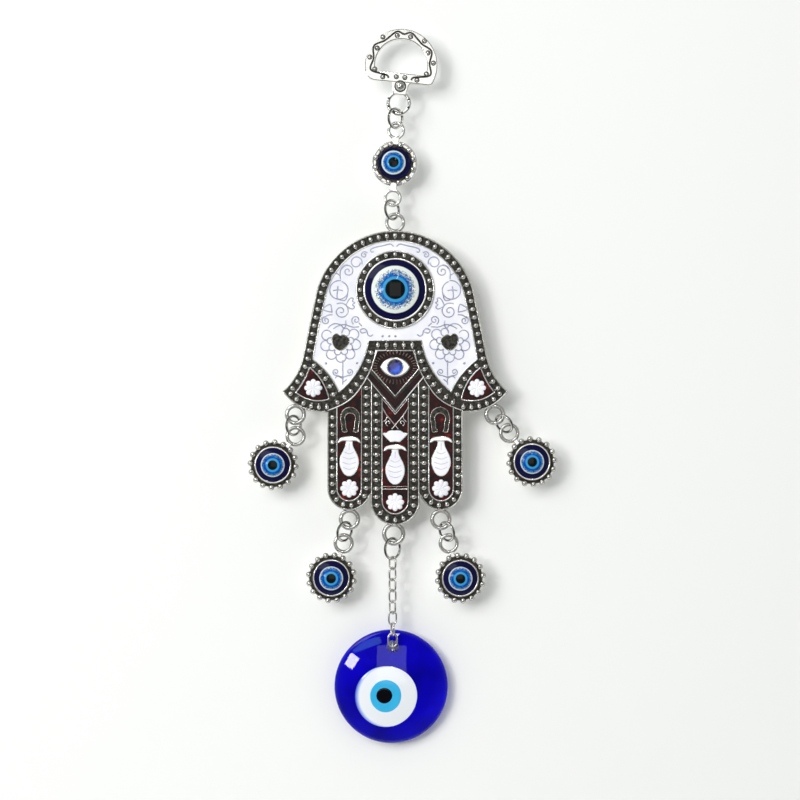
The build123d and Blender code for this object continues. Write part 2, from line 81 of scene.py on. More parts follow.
CONNECTOR_LOOP_R = 2.62           # mean radius of each loop on the connector
CHARM_LOOP_R = 2.95
CHARM_LOOP_RISE = 12.75           # a charm's loop above its eye
MOUNT_WIRE_R = 0.62               # wire of these loops
JUMP_RING_WIRE_R = 0.475

LINK_LENGTH = 5.3
LINK_WIDTH = 3.7
LINK_WIRE_R = 0.35


# ================================================================ places on the frame
def middle_of(node):
    """The middle of a CAD node's box."""
    low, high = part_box(node)
    return (low + high) / 2


def half_width(node):
    """Half the width of a node's box along X, in millimetres."""
    low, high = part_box(node)
    return (high.x - low.x) / 2 / MM


def facing(x, z, lean=0.0, y=0.0):
    """Where a flat drawing goes: its middle in metres, leaning clockwise as the viewer sees it."""
    turn = Matrix.Rotation(radians(lean), 4, "Y") @ Matrix.Rotation(radians(90), 4, "X")
    return Matrix.Translation((x, y, z)) @ turn


def hand_place():
    eye = middle_of("centre_eye_disc")
    return facing(eye.x, eye.z + EYE_DROP * MM)


def connector_place():
    eye = middle_of("connector_eye")
    return facing(eye.x, eye.z, CONNECTOR_LEAN)


def hanger_place():
    """The middle of the hanger's round band."""
    low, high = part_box("hanger_ring")
    return facing((low.x + high.x) / 2, high.z - HANGER_R * MM, HANGER_LEAN)


def charm_lean(name):
    """A charm leans towards its loop, which is the top corner of its mount's box."""
    loop_outer_r = (CHARM_LOOP_R + MOUNT_WIRE_R) * MM
    eye = middle_of(name + "_charm_eye")
    low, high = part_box(name + "_charm_frame")
    rise = high.z - loop_outer_r - eye.z
    return degrees(acos(rise / (CHARM_LOOP_RISE * MM))) * (1 if name.startswith("left") else -1)


HAND = hand_place()
CONNECTOR = connector_place()
HANGER = hanger_place()


# ================================================================ drawing
def depths(points):
    """Points given as (x, depth) turned into (x, y)."""
    return [(x, -depth) for x, depth in points]


def mirrored(points):
    return [(-x, y) for x, y in points]


def arc(start, middle, end, steps=20):
    """Points along the circle through three points."""
    a, b, c = (complex(*point) for point in (start, middle, end))
    w = (c - a) / (b - a)
    centre = (b - a) * (w - abs(w) ** 2) / (2j * w.imag) + a
    first = phase(a - centre)
    to_middle = (phase(b - centre) - first) % (2 * pi)
    sweep = (phase(c - centre) - first) % (2 * pi)
    if to_middle > sweep:
        sweep -= 2 * pi
    radius = abs(a - centre)
    angles = [first + sweep * i / steps for i in range(steps + 1)]
    return [(centre.real + radius * cos(t), centre.imag + radius * sin(t)) for t in angles]


def smooth(points, steps=8):
    """A soft line through points, as a Catmull-Rom curve."""
    ends = [points[0]] + list(points) + [points[-1]]
    line = []
    for corners in zip(ends, ends[1:], ends[2:], ends[3:]):
        for i in range(steps):
            line.append(tuple(eased(i / steps, *values) for values in zip(*corners)))
    return line + [points[-1]]


def eased(t, a, b, c, d):
    """A value between b and c that runs on smoothly from a and towards d."""
    bend = 2 * a - 5 * b + 4 * c - d
    twist = 3 * b - a - 3 * c + d
    return 0.5 * (2 * b + (c - a) * t + bend * t ** 2 + twist * t ** 3)


def spiral(x, y, radius, start, turns, end_radius=0.25):
    """A spiral that runs in from radius; start is its first angle, and turns is below 0 for clockwise."""
    steps = int(abs(turns) * 28)
    line = []
    for i in range(steps + 1):
        t = i / steps
        r = radius + (end_radius - radius) * t
        angle = radians(start) + 2 * pi * turns * t
        line.append((x + r * cos(angle), y + r * sin(angle)))
    return line


def length_of(points):
    """The length of a line through points."""
    return sum(hypot(q[0] - p[0], q[1] - p[1]) for p, q in zip(points, points[1:]))


def evenly(points, pitch, inset=0.0):
    """Evenly spaced (x, y, direction) along a line, about a pitch apart, from inset to inset."""
    total = length_of(points) - 2 * inset
    count = max(1, round(total / pitch))
    wanted = [inset + total * i / count for i in range(count + 1)]
    places = []
    walked = 0.0
    for p, q in zip(points, points[1:]):
        step = hypot(q[0] - p[0], q[1] - p[1])
        while wanted and wanted[0] <= walked + step + 1e-6 and step > 0:
            t = (wanted.pop(0) - walked) / step
            angle = atan2(q[1] - p[1], q[0] - p[0])
            places.append((p[0] + (q[0] - p[0]) * t, p[1] + (q[1] - p[1]) * t, angle))
        walked += step
    return places


def shifted(points, distance, closed=False):
    """A line moved sideways to its left by a distance."""
    count = len(points)
    moved = []
    for i, (x, y) in enumerate(points):
        before = points[i - 1] if closed or i > 0 else points[0]
        after = points[(i + 1) % count] if closed or i < count - 1 else points[-1]
        dx, dy = after[0] - before[0], after[1] - before[1]
        size = hypot(dx, dy) or 1.0
        moved.append((x - dy / size * distance, y + dx / size * distance))
    return moved


def face_loops(node, place, back=False):
    """Outlines of the CAD node's largest flat face towards the viewer (or the wall), largest first."""
    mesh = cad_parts[node].data
    side = 1 if back else -1
    levels = {}
    for polygon in mesh.polygons:
        if polygon.normal.y * side > 0.999:
            levels.setdefault(round(polygon.center.y / MM, 1), []).append(polygon)
    flat = max(levels.values(), key=lambda polygons: sum(polygon.area for polygon in polygons))
    to_drawing = place.inverted()
    edges = set()
    for polygon in flat:
        corners = []
        for index in polygon.vertices:
            corner = to_drawing @ mesh.vertices[index].co / MM
            corners.append((round(corner.x, 3), round(corner.y, 3)))
        edges.update(zip(corners, corners[1:] + corners[:1]))
    follow = {a: b for a, b in edges if (b, a) not in edges}
    loops = []
    while follow:
        loop = [min(follow)]
        step = follow.pop(loop[0])
        while step in follow:
            loop.append(step)
            step = follow.pop(step)
        loops.append(thinned(loop))
    return sorted(loops, key=area_of, reverse=True)


def thinned(loop, gap=0.3):
    """A closed line without points that crowd the one before them."""
    kept = [loop[0]]
    for point in loop[1:]:
        if hypot(point[0] - kept[-1][0], point[1] - kept[-1][1]) > gap:
            kept.append(point)
    return kept


def area_of(loop):
    return abs(sum(p[0] * q[1] - q[0] * p[1] for p, q in zip(loop, loop[1:] + loop[:1]))) / 2


def counter_clockwise(loop):
    turning = sum(p[0] * q[1] - q[0] * p[1] for p, q in zip(loop, loop[1:] + loop[:1]))
    return loop if turning > 0 else loop[::-1]


# ================================================================ building pieces
def add_piece(name, data, place, finish, body):
    """Put new geometry on the frame, give it its finish, and let it ride on a body."""
    piece = bpy.data.objects.new(name, data)
    bpy.context.scene.collection.objects.link(piece)
    piece.matrix_world = place
    data.materials.append(finish)
    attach(piece, body)
    return piece


def finished_mesh(name, shape, sharp=32):
    """A mesh from bmesh geometry: outward normals, smooth except at real corners."""
    bmesh.ops.recalc_face_normals(shape, faces=shape.faces)
    mesh = bpy.data.meshes.new(name)
    shape.to_mesh(mesh)
    shape.free()
    for polygon in mesh.polygons:
        polygon.use_smooth = True
    mesh.set_sharp_from_angle(angle=radians(sharp))
    return mesh


def plate(name, loops, low, high, edge):
    """A flat shape between two heights, with rounded edges.  Loops inside others are holes."""
    curve = bpy.data.curves.new(name, "CURVE")
    curve.dimensions = "2D"
    curve.fill_mode = "BOTH"
    curve.extrude = ((high - low) / 2 - edge) * MM
    curve.bevel_depth = edge * MM
    curve.bevel_resolution = 3
    curve.offset = -edge * MM
    for loop in loops:
        add_spline(curve, [(x, y, 0) for x, y in loop], True)
    return curve


def add_spline(curve, points, closed):
    """A straight-sided run through (x, y, height) points."""
    spline = curve.splines.new("POLY")
    spline.points.add(len(points) - 1)
    for target, (x, y, height) in zip(spline.points, points):
        target.co = (x * MM, y * MM, height * MM, 1)
    spline.use_cyclic_u = closed
    spline.use_smooth = True


def raised(place, low, high):
    """A plate is drawn about its own middle; this lifts it to lie between two heights."""
    return place @ Matrix.Translation((0, 0, (low + high) / 2 * MM))


def wires(name, lines, radius, height, closed=False):
    """Round wires along flat lines at a height; a line may also hold its own heights."""
    curve = bpy.data.curves.new(name, "CURVE")
    curve.dimensions = "3D"
    curve.bevel_depth = radius * MM
    curve.bevel_resolution = 4
    curve.use_fill_caps = True
    for line in lines:
        add_spline(curve, [(p[0], p[1], p[2] if len(p) > 2 else height) for p in line], closed)
    return curve


def balls(name, centres, radius, flatten=1.0, around=16):
    """Balls in one mesh; centres are (x, y, height)."""
    down = around // 2
    ball = [(0, 0, 1)]
    for i in range(1, down):
        rise = pi * i / down
        ball += [(sin(rise) * cos(2 * pi * k / around), sin(rise) * sin(2 * pi * k / around), cos(rise))
                 for k in range(around)]
    ball.append((0, 0, -1))
    last = len(ball) - 1
    skin = []
    for k in range(around):
        m = (k + 1) % around
        skin.append((0, 1 + k, 1 + m))
        skin += [(1 + i * around + k, 1 + (i + 1) * around + k, 1 + (i + 1) * around + m,
                  1 + i * around + m)
                 for i in range(down - 2)]
        skin.append((last, last - around + m, last - around + k))
    points = []
    faces = []
    for x, y, height in centres:
        first = len(points)
        points += [((x + radius * bx) * MM, (y + radius * by) * MM, (height + radius * flatten * bz) * MM)
                   for bx, by, bz in ball]
        faces += [[first + corner for corner in face] for face in skin]
    mesh = bpy.data.meshes.new(name)
    mesh.from_pydata(points, [], faces)
    mesh.shade_smooth()
    return mesh


def lathe(name, profile, closed=False, around=96, sharp=32):
    """A solid of revolution about the axis towards the viewer, from (radius, height) points."""
    shape = bmesh.new()
    rings = []
    for radius, height in profile:
        if radius == 0:
            rings.append([shape.verts.new((0, 0, height * MM))])
            continue
        ring = []
        for i in range(around):
            angle = 2 * pi * i / around
            r = radius * MM
            ring.append(shape.verts.new((r * cos(angle), r * sin(angle), height * MM)))
        rings.append(ring)
    pairs = list(zip(rings, rings[1:]))
    if closed:
        pairs.append((rings[-1], rings[0]))
    for a, b in pairs:
        for i in range(around):
            j = (i + 1) % around
            corners = [a[i % len(a)], a[j % len(a)], b[j % len(b)], b[i % len(b)]]
            shape.faces.new(list(dict.fromkeys(corners)))
    return finished_mesh(name, shape, sharp)


def dome_profile(radius, foot, rim, crown, steps=16):
    """Flat foot, short upright side and a round crown, from the axis at the foot to the crown."""
    rise = crown - rim
    sphere = (radius ** 2 + rise ** 2) / (2 * rise)
    profile = [(0, foot), (radius - 0.1, foot), (radius, foot + 0.1)]
    widest = asin(radius / sphere)
    for i in range(steps + 1):
        angle = widest * (1 - i / steps)
        profile.append((sphere * sin(angle), crown - sphere + sphere * cos(angle)))
    profile[-1] = (0, crown)
    return profile


def ring_profile(inner, outer, low, high, edge):
    """Closed section of a flat ring whose edges are rounded."""
    section = []
    corners = [(outer - edge, low + edge, -90), (outer - edge, high - edge, 0),
               (inner + edge, high - edge, 90), (inner + edge, low + edge, 180)]
    for x, y, start in corners:
        for i in range(5):
            angle = radians(start + 22.5 * i)
            section.append((x + edge * cos(angle), y + edge * sin(angle)))
    return section


def torus(name, radius, wire, gap=0.0, around=80, flatten=1.0, slant=0.0):
    """A round-wire ring; a gap in degrees leaves it cut, with both ends closed."""
    shape = bmesh.new()
    rounds = 14
    turns = around if gap == 0 else around + 1
    rings = []
    for i in range(turns):
        angle = radians(gap / 2) + (2 * pi - radians(gap)) * i / around
        rise = slant * (i / around - 0.5)
        ring = []
        for k in range(rounds):
            side = 2 * pi * k / rounds
            r = (radius + wire * cos(side)) * MM
            ring.append(shape.verts.new((r * cos(angle), r * sin(angle),
                                         (wire * flatten * sin(side) + rise) * MM)))
        rings.append(ring)
    pairs = list(zip(rings, rings[1:]))
    if gap == 0:
        pairs.append((rings[-1], rings[0]))
    for a, b in pairs:
        for k in range(rounds):
            m = (k + 1) % rounds
            shape.faces.new((a[k], a[m], b[m], b[k]))
    if gap:
        shape.faces.new(rings[0])
        shape.faces.new(rings[-1])
    return finished_mesh(name, shape, 60)


# ================================================================ finishes
class Finish:
    """A material with short calls for its nodes.  Textures follow the piece's own coordinates."""

    def __init__(self, name):
        self.material = bpy.data.materials.new(name)
        self.material.use_nodes = True
        self.tree = self.material.node_tree
        self.shader = self.tree.nodes["Principled BSDF"]
        self.place = self.tree.nodes.new("ShaderNodeTexCoord").outputs["Object"]

    def node(self, kind, settings=(), **inputs):
        made = self.tree.nodes.new("ShaderNode" + kind)
        for key, value in dict(settings).items():
            setattr(made, key, value)
        for key, value in inputs.items():
            socket = made.inputs[key.replace("_", " ")]
            if isinstance(value, bpy.types.NodeSocket):
                self.tree.links.new(value, socket)
            else:
                socket.default_value = value
        return made

    def join(self, output, target):
        self.tree.links.new(output, target)

    def constant(self, **values):
        for key, value in values.items():
            self.shader.inputs[key.replace("_", " ")].default_value = value

    def noise(self, size, detail=3.0, vector=None):
        """Noise whose features are about size millimetres."""
        made = self.node("TexNoise", Scale=1 / (size * MM), Detail=detail)
        self.join(vector or self.place, made.inputs["Vector"])
        return made.outputs["Fac"]

    def ramp(self, factor, stops, hard=False):
        made = self.node("ValToRGB")
        band = made.color_ramp
        band.interpolation = "CONSTANT" if hard else "LINEAR"
        while len(band.elements) < len(stops):
            band.elements.new(0.5)
        for element, (position, colour) in zip(band.elements, stops):
            element.position = position
            element.color = (*colour, 1)
        self.join(factor, made.inputs["Fac"])
        return made.outputs["Color"]

    def mix(self, factor, a, b, blend="MIX"):
        made = self.node("Mix", {"data_type": "RGBA", "blend_type": blend})
        for value, socket in ((factor, made.inputs[0]), (a, made.inputs[6]), (b, made.inputs[7])):
            if isinstance(value, bpy.types.NodeSocket):
                self.join(value, socket)
            elif isinstance(value, tuple):
                socket.default_value = (*value, 1)
            else:
                socket.default_value = value
        return made.outputs[2]

    def maths(self, operation, a, b=0.0):
        made = self.node("Math", {"operation": operation})
        for value, socket in ((a, made.inputs[0]), (b, made.inputs[1])):
            if isinstance(value, bpy.types.NodeSocket):
                self.join(value, socket)
            else:
                socket.default_value = value
        return made.outputs[0]

    def spread(self, factor, low, high):
        """A 0 to 1 value spread over a range."""
        made = self.node("MapRange")
        self.join(factor, made.inputs["Value"])
        made.inputs["To Min"].default_value = low
        made.inputs["To Max"].default_value = high
        return made.outputs["Result"]

    def bump(self, height, distance, strength=1.0):
        made = self.node("Bump", Strength=strength, Distance=distance * MM)
        self.join(height, made.inputs["Height"])
        self.join(made.outputs["Normal"], self.shader.inputs["Normal"])


def silver(name, bright, worn, dark, reach, rough, grain, corner=(0.28, 0.72), painted_edge_shade=None):
    """Antiqued silver plate: bright where it is rubbed, dark where it is sheltered: partly the
    patina that stays in its hollows, partly painted shade in corners and where parts touch.

    The corner values say how sheltered a spot is where it turns dark, and where it turns bright.
    The painted edge shade is painted shade and reflection on the flanks of a ball or a wire:
    they stay dark up to the first share of its height and are bright from the second."""
    finish = Finish(name)
    # Painted shade, partly patina: ambient occlusion darkens sheltered hollows and the spots where parts touch.
    shelter = finish.node("AmbientOcclusion", {"samples": 8}, Distance=reach * MM)
    cloudy = finish.noise(2.4, 4)
    rubbed = finish.mix(cloudy, bright, worn)
    patina_and_shade_mask = finish.ramp(shelter.outputs["AO"], [(corner[0], (0, 0, 0)), (corner[1], (1, 1, 1))])
    # Painted shade and reflection: the flanks of a ball or a wire turn dark towards its silhouette.
    if painted_edge_shade:
        across = finish.node("SeparateXYZ", Vector=finish.node("TexCoord").outputs["Generated"])
        height = finish.maths("ABSOLUTE", finish.maths("MULTIPLY", finish.maths(
            "SUBTRACT", across.outputs["Z"], 0.5), 2.0))
        painted_edge_mask = finish.ramp(height, [(painted_edge_shade[0], (0, 0, 0)), (painted_edge_shade[1], (1, 1, 1))])
        patina_and_shade_mask = finish.mix(1.0, patina_and_shade_mask, painted_edge_mask, "MULTIPLY")
    finish.join(finish.mix(patina_and_shade_mask, dark, rubbed), finish.shader.inputs["Base Color"])
    finish.join(finish.spread(finish.noise(0.7, 4), *rough), finish.shader.inputs["Roughness"])
    finish.bump(finish.noise(grain, 3), 0.03, 0.55)
    finish.constant(Metallic=1.0)
    return finish.material


def patina():
    """The oxidised floor of the channels: dull and dark, with a little bare metal showing."""
    finish = Finish("dark_patina")
    stain = finish.ramp(finish.noise(0.9, 4), [(0.34, (0.010, 0.009, 0.007)), (0.72, (0.085, 0.08, 0.064))])
    finish.join(stain, finish.shader.inputs["Base Color"])
    finish.bump(finish.noise(0.35, 3), 0.05, 0.8)
    finish.constant(Metallic=0.5, Roughness=0.45)
    return finish.material


def enamel(name, deep, light, size, rough=0.12, wave=0.02, painted_glow=None):
    """Poured enamel: a slightly uneven glassy surface over a colour that clouds a little, with optional painted
    glints.
    """
    finish = Finish(name)
    stops = [(0.36, deep), (0.64, light)]
    # Painted glints: rare bright specks of the third colour among the clouds.
    if painted_glow:
        stops.append((0.76, painted_glow))
    cloud = finish.ramp(finish.noise(size, 3), stops)
    finish.join(cloud, finish.shader.inputs["Base Color"])
    finish.join(finish.spread(finish.noise(1.6, 2), rough, rough + 0.1), finish.shader.inputs["Roughness"])
    finish.bump(finish.noise(2.5, 2), wave, 0.6)
    finish.constant(Specular_IOR_Level=0.1, Coat_Weight=0.15, Coat_Roughness=0.05)
    return finish.material


def eye_print(name, radius, rings, shift=(0.0, 0.0), glitter=None):
    """A printed eye under clear gloss.  Rings are (outer radius, colour) from the pupil outwards.

    The glitter is (inner radius, outer radius, flake size, how rare the white flakes are)."""
    finish = Finish(name)
    flat = finish.node("VectorMath", {"operation": "MULTIPLY_ADD"})
    finish.join(finish.place, flat.inputs[0])
    flat.inputs[1].default_value = (1, 1, 0)
    flat.inputs[2].default_value = (-shift[0] * MM, -shift[1] * MM, 0)
    distance = finish.node("VectorMath", {"operation": "LENGTH"})
    finish.join(flat.outputs[0], distance.inputs[0])
    wobble = finish.maths("MULTIPLY", finish.maths("SUBTRACT", finish.noise(1.2, 2), 0.5), 0.12 / radius)
    share = finish.maths("ADD", finish.maths("MULTIPLY", distance.outputs["Value"], 1 / (radius * MM)),
                         wobble)
    stops = []
    inner = 0.0
    for outer, colour in rings:
        stops.append((inner, colour))
        stops.append((max(inner, outer / radius - 0.012), colour))
        inner = outer / radius + 0.008
    colour = finish.ramp(share, stops)
    if glitter:
        low, high, flake, white = glitter
        cells = finish.node("TexVoronoi", Scale=1 / (flake * MM))
        finish.join(finish.place, cells.inputs["Vector"])
        outward = finish.ramp(share, [(low / radius, (0, 0, 0)), (high / radius, (1, 1, 1))])
        luck = finish.node("SeparateColor")
        finish.join(cells.outputs["Color"], luck.inputs[0])
        chance = finish.maths("ADD", finish.maths("MULTIPLY", luck.outputs[0], 0.5),
                              finish.maths("MULTIPLY", outward, 0.5))
        flakes = finish.ramp(chance, [
            (0.0, (0.001, 0.05, 0.32)),
            (0.28 + white, (0.004, 0.20, 0.62)),
            (0.42 + white, (0.10, 0.14, 0.17)),
            (0.54 + white, (0.42, 0.47, 0.48)),
            (0.72 + white, (0.90, 0.93, 0.91)),
        ], True)
        inside = finish.ramp(share, [
            (low / radius - 0.03, (0, 0, 0)), (low / radius + 0.05, (1, 1, 1)),
            (high / radius - 0.03, (1, 1, 1)), (high / radius + 0.02, (0, 0, 0))])
        colour = finish.mix(inside, colour, flakes)
    finish.join(colour, finish.shader.inputs["Base Color"])
    finish.constant(Roughness=0.5, Specular_IOR_Level=0.05, Coat_Weight=0.35, Coat_Roughness=0.02)
    return finish.material


def glass(name, colour, deep, through, rough=0.03):
    """Pressed glass: part of the light goes through, the rest comes back coloured."""
    finish = Finish(name)
    swirl = finish.ramp(finish.noise(14, 2), [(0.3, deep), (0.7, colour)])
    finish.join(swirl, finish.shader.inputs["Base Color"])
    finish.bump(finish.noise(9, 1), 0.12, 0.5)
    finish.constant(Roughness=rough, IOR=1.45, Transmission_Weight=through, Coat_Weight=0.0)
    return finish.material


def milk_glass():
    """White glass melted into the blue, which shows through its thin left edge."""
    finish = Finish("white_glass")
    middle = middle_of("bead_white") - bead_place().translation
    thick = finish.node("VectorMath", {"operation": "MULTIPLY_ADD"})
    finish.join(finish.place, thick.inputs[0])
    thick.inputs[1].default_value = (1, 1, 0)
    thick.inputs[2].default_value = (-middle.x - 1.0 * MM, -middle.z, 0)
    distance = finish.node("VectorMath", {"operation": "LENGTH"})
    finish.join(thick.outputs[0], distance.inputs[0])
    share = finish.maths("MULTIPLY", distance.outputs["Value"], 1 / (12 * MM))
    blend = finish.ramp(share, [(0.86, (0.86, 0.90, 0.95)), (0.93, (0.30, 0.42, 0.85)),
                                (0.99, (0.02, 0.05, 0.55))])
    finish.join(blend, finish.shader.inputs["Base Color"])
    finish.bump(finish.noise(6, 1), 0.08, 0.5)
    finish.constant(Roughness=0.12, Coat_Weight=0.6, Coat_Roughness=0.03)
    return finish.material


def stone_finish():
    """Faceted blue glass: painted shade on the side towards the light and a painted glow on the far side, as
    through a stone over foil.
    """
    finish = Finish("blue_stone")
    # Painted shade and glow: a fixed gradient across the stone, dark at one side and bright at the other.
    gradient = finish.node("TexGradient")
    mapping = finish.node("Mapping")
    finish.join(finish.place, mapping.inputs["Vector"])
    mapping.inputs["Rotation"].default_value = (0, 0, radians(55))
    mapping.inputs["Scale"].default_value = (190, 190, 190)
    mapping.inputs["Location"].default_value = (0.5, 0, 0)
    finish.join(mapping.outputs["Vector"], gradient.inputs["Vector"])
    painted_glow = finish.ramp(gradient.outputs["Fac"], [
        (0.15, (0.002, 0.004, 0.05)), (0.5, (0.004, 0.02, 0.3)), (0.8, (0.02, 0.12, 0.9))])
    finish.join(painted_glow, finish.shader.inputs["Base Color"])
    finish.constant(Roughness=0.08, Metallic=0.25, Coat_Weight=1.0, Coat_Roughness=0.02)
    return finish.material


CAST = silver("cast_silver", (0.82, 0.81, 0.77), (0.58, 0.57, 0.52), (0.05, 0.047, 0.038), 0.7,
              (0.16, 0.34), 0.8)
POLISHED = silver("polished_silver", (0.97, 0.96, 0.94), (0.86, 0.85, 0.82), (0.12, 0.115, 0.10), 0.3,
                  (0.12, 0.24), 1.6)
BEADING = silver("beading_silver", (0.95, 0.93, 0.89), (0.76, 0.74, 0.69), (0.10, 0.095, 0.08), 0.3,
                 (0.16, 0.28), 0.5, (0.10, 0.50))
# For the balls and the wire, the last pair is the painted edge shade that darkens their flanks.
BALLS = silver("silver_balls", (0.95, 0.93, 0.89), (0.76, 0.74, 0.69), (0.07, 0.066, 0.055), 0.3,
               (0.16, 0.28), 0.5, (0.08, 0.40), (0.42, 0.72))
WIRE = silver("silver_wire", (0.90, 0.89, 0.86), (0.62, 0.61, 0.58), (0.05, 0.047, 0.042), 0.4,
              (0.12, 0.24), 0.5, (0.28, 0.72), (0.40, 0.72))
BRONZE = silver("old_bronze", (0.34, 0.27, 0.20), (0.15, 0.12, 0.085), (0.03, 0.015, 0.01), 0.5,
                (0.2, 0.36), 0.5)
CHAIN = silver("chain_silver", (0.90, 0.89, 0.86), (0.62, 0.61, 0.58), (0.05, 0.047, 0.042), 0.4,
               (0.10, 0.20), 0.5)
DARK = patina()
GLAZE = enamel("navy_glaze", (0.001, 0.001, 0.025), (0.002, 0.002, 0.055), 3)
WHITE = enamel("white_enamel", (0.84, 0.85, 0.92), (0.97, 0.97, 1.0), 9)
# The red enamel's third colour paints rare bright red glints.
RED = enamel("red_enamel", (0.004, 0.0005, 0.0005), (0.040, 0.001, 0.001), 2.2, 0.08, 0.04,
             (0.30, 0.004, 0.006))
BLACK = enamel("black_enamel", (0.004, 0.002, 0.002), (0.022, 0.004, 0.005), 3, 0.08, 0.03)
SCROLL = silver("scroll_line", (0.70, 0.72, 0.90), (0.36, 0.37, 0.50), (0.2, 0.2, 0.3), 0.12,
                (0.25, 0.45), 0.6)


# ================================================================ hanger
DOT_TURNS = [(13, 10.45), (38.5, 11.7), (60, 10.3), (81, 11.3), (104, 9.35), (128, 7.6)]


def turned_point(angle, radius):
    """A point on the hanger, by its angle clockwise from the top."""
    return (radius * sin(radians(angle)), radius * cos(radians(angle)))


def build_hanger():
    loops = face_loops("hanger_ring", HANGER)[:2]
    band = add_piece("hanger_band", plate("hanger_band", loops, -1.2, 1.1, 0.42),
                     raised(HANGER, -1.2, 1.1), POLISHED, "hanger")
    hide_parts("hanger_ring")
    neck = depths([(-3.4, 5.6), (-2.5, 7.0), (-1.9, 10.3), (2.7, 10.3), (3.3, 7.0), (4.2, 5.6)])
    add_piece("hanger_neck", plate("hanger_neck", [neck], -0.75, 1.0, 0.3),
              raised(HANGER, -0.75, 1.0), POLISHED, "hanger")
    eyelet = HANGER @ Matrix.Translation((0.4 * MM, -13.15 * MM, 0))
    add_piece("hanger_eyelet", torus("hanger_eyelet", 3.72, 0.78), eyelet, POLISHED, "hanger")
    studs = [(3.75 * cos(radians(a)), 3.75 * sin(radians(a)), 0.62) for a in range(25, 385, 45)]
    add_piece("hanger_eyelet_studs", balls("studs", studs, 0.33), eyelet, BEADING, "hanger")
    pits = [(x, y, 0.5) for x, y, _ in studs]
    add_piece("hanger_eyelet_pits", balls("pits", pits, 0.47), eyelet, DARK, "hanger")
    dome = HANGER @ Matrix.Translation((0.4 * MM, -7.35 * MM, 0))
    add_piece("hanger_dome", balls("dome", [(0, 0, 1.0)], 1.75, 0.8, 40), dome, CAST, "hanger")
    add_piece("hanger_dome_ring", torus("dome_ring", 1.86, 0.22),
              dome @ Matrix.Translation((0, 0, 1.0 * MM)),
              DARK, "hanger")
    dots = [turned_point(a, r) for a, r in DOT_TURNS]
    dots += mirrored(dots) + [(-1.3, -4.2), (1.7, -4.2)]
    add_piece("hanger_dots", balls("dots", [(x, y, 1.1) for x, y in dots], 0.62, 0.7),
              HANGER, BEADING, "hanger")
    add_piece("hanger_dot_pits", balls("dot_pits", [(x, y, 1.08) for x, y in dots], 0.92, 0.16, 24),
              HANGER, DARK, "hanger")
    side = [(0, 10.9)]
    for i, (angle, radius) in enumerate(DOT_TURNS):
        side.append(turned_point(angle, radius + (1.35 if i % 2 == 0 else -1.35)))
    side.append((4.0, -4.9))
    line = smooth(mirrored(side)[:0:-1] + side, 10)
    add_piece("hanger_engraved_line", wires("hanger_line", [line], 0.42, 0.85),
              HANGER, DARK, "hanger")


# ================================================================ jump rings and chain
def wire_place(node):
    """The middle of a ring or link, and its axes: along its length, across it, and out of its plane."""
    points = numpy.array([corner.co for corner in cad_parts[node].data.vertices])
    centre = (points.min(0) + points.max(0)) / 2
    spreads, axes = numpy.linalg.eigh(numpy.cov((points - centre).T))
    out = Vector(axes[:, 0])
    if out.y > 0:
        out = -out
    along = Vector((0, 0, 1)) - out * out.z
    along.normalize()
    across = along.cross(out)
    return Matrix.Translation(centre) @ Matrix((across, along, out)).transposed().to_4x4()


def build_jump_ring(node, body, radius, cut):
    """A ring of round wire, cut once; cut is the angle of its closed gap."""
    place = wire_place(node) @ Matrix.Rotation(radians(cut), 4, "Z")
    piece = add_piece(node + "_wire", torus(node, radius, JUMP_RING_WIRE_R, 2.2, 96, 1.0, 0.12), place, WIRE, body)
    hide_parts(node)


def build_link(node, body):
    """An oval chain link of thin wire, a little pinched at its waist."""
    bend = LINK_WIDTH / 2 - LINK_WIRE_R
    straight = (LINK_LENGTH - LINK_WIDTH) / 2
    line = []
    for i in range(48):
        angle = 2 * pi * i / 48
        shift = straight if sin(angle) > 0 else -straight
        line.append((bend * cos(angle) * (1 - 0.05 * sin(angle) ** 2), bend * sin(angle) + shift))
    place = flat_link_place(node) if body == "bead" else wire_place(node)
    piece = add_piece(node + "_wire", wires(node, [line], LINK_WIRE_R, 0, True), place, CHAIN, body)
    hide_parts(node)


def flat_link_place(node):
    """A link that lies along Y in the bead's hole."""
    low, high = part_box(node)
    centre = (low + high) / 2
    upright = high.z - low.z > high.x - low.x
    turn = Matrix.Rotation(radians(90), 4, "Y") if upright else Matrix.Identity(4)
    return Matrix.Translation(centre) @ turn


def build_rings_and_chain():
    build_jump_ring("top_jump_ring", "top_ring", 3.3, 70)
    build_jump_ring("middle_jump_ring", "middle_ring", 3.3, 110)
    for name, cut in (("left_wing", 40), ("right_wing", 150), ("left_finger", 65), ("right_finger", 130)):
        build_jump_ring(name + "_jump_ring", name + "_ring", 3.3, cut)
    build_jump_ring("chain_jump_ring", "chain_ring", 3.6, 20)
    for number in range(1, 9):
        build_link(f"chain_link_{number}", f"link_{number}")
    build_link("hole_link_front", "bead")
    build_link("hole_link_back", "bead")
    middle = middle_of("bead_stop_ring")
    stop = add_piece("bead_stop_ring_wire", torus("stop_ring", 3.3, JUMP_RING_WIRE_R, 2.2),
                     facing(middle.x, middle.z, 0, middle.y), WIRE, "bead")
    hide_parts("bead_stop_ring")


# ================================================================ eye connector and charms
NAVY = (0.001, 0.001, 0.040)
INK = (0.003, 0.005, 0.005)
SKY = (0.045, 0.32, 0.62)
ROYAL = (0.004, 0.12, 0.50)
PALE = (0.60, 0.72, 0.70)

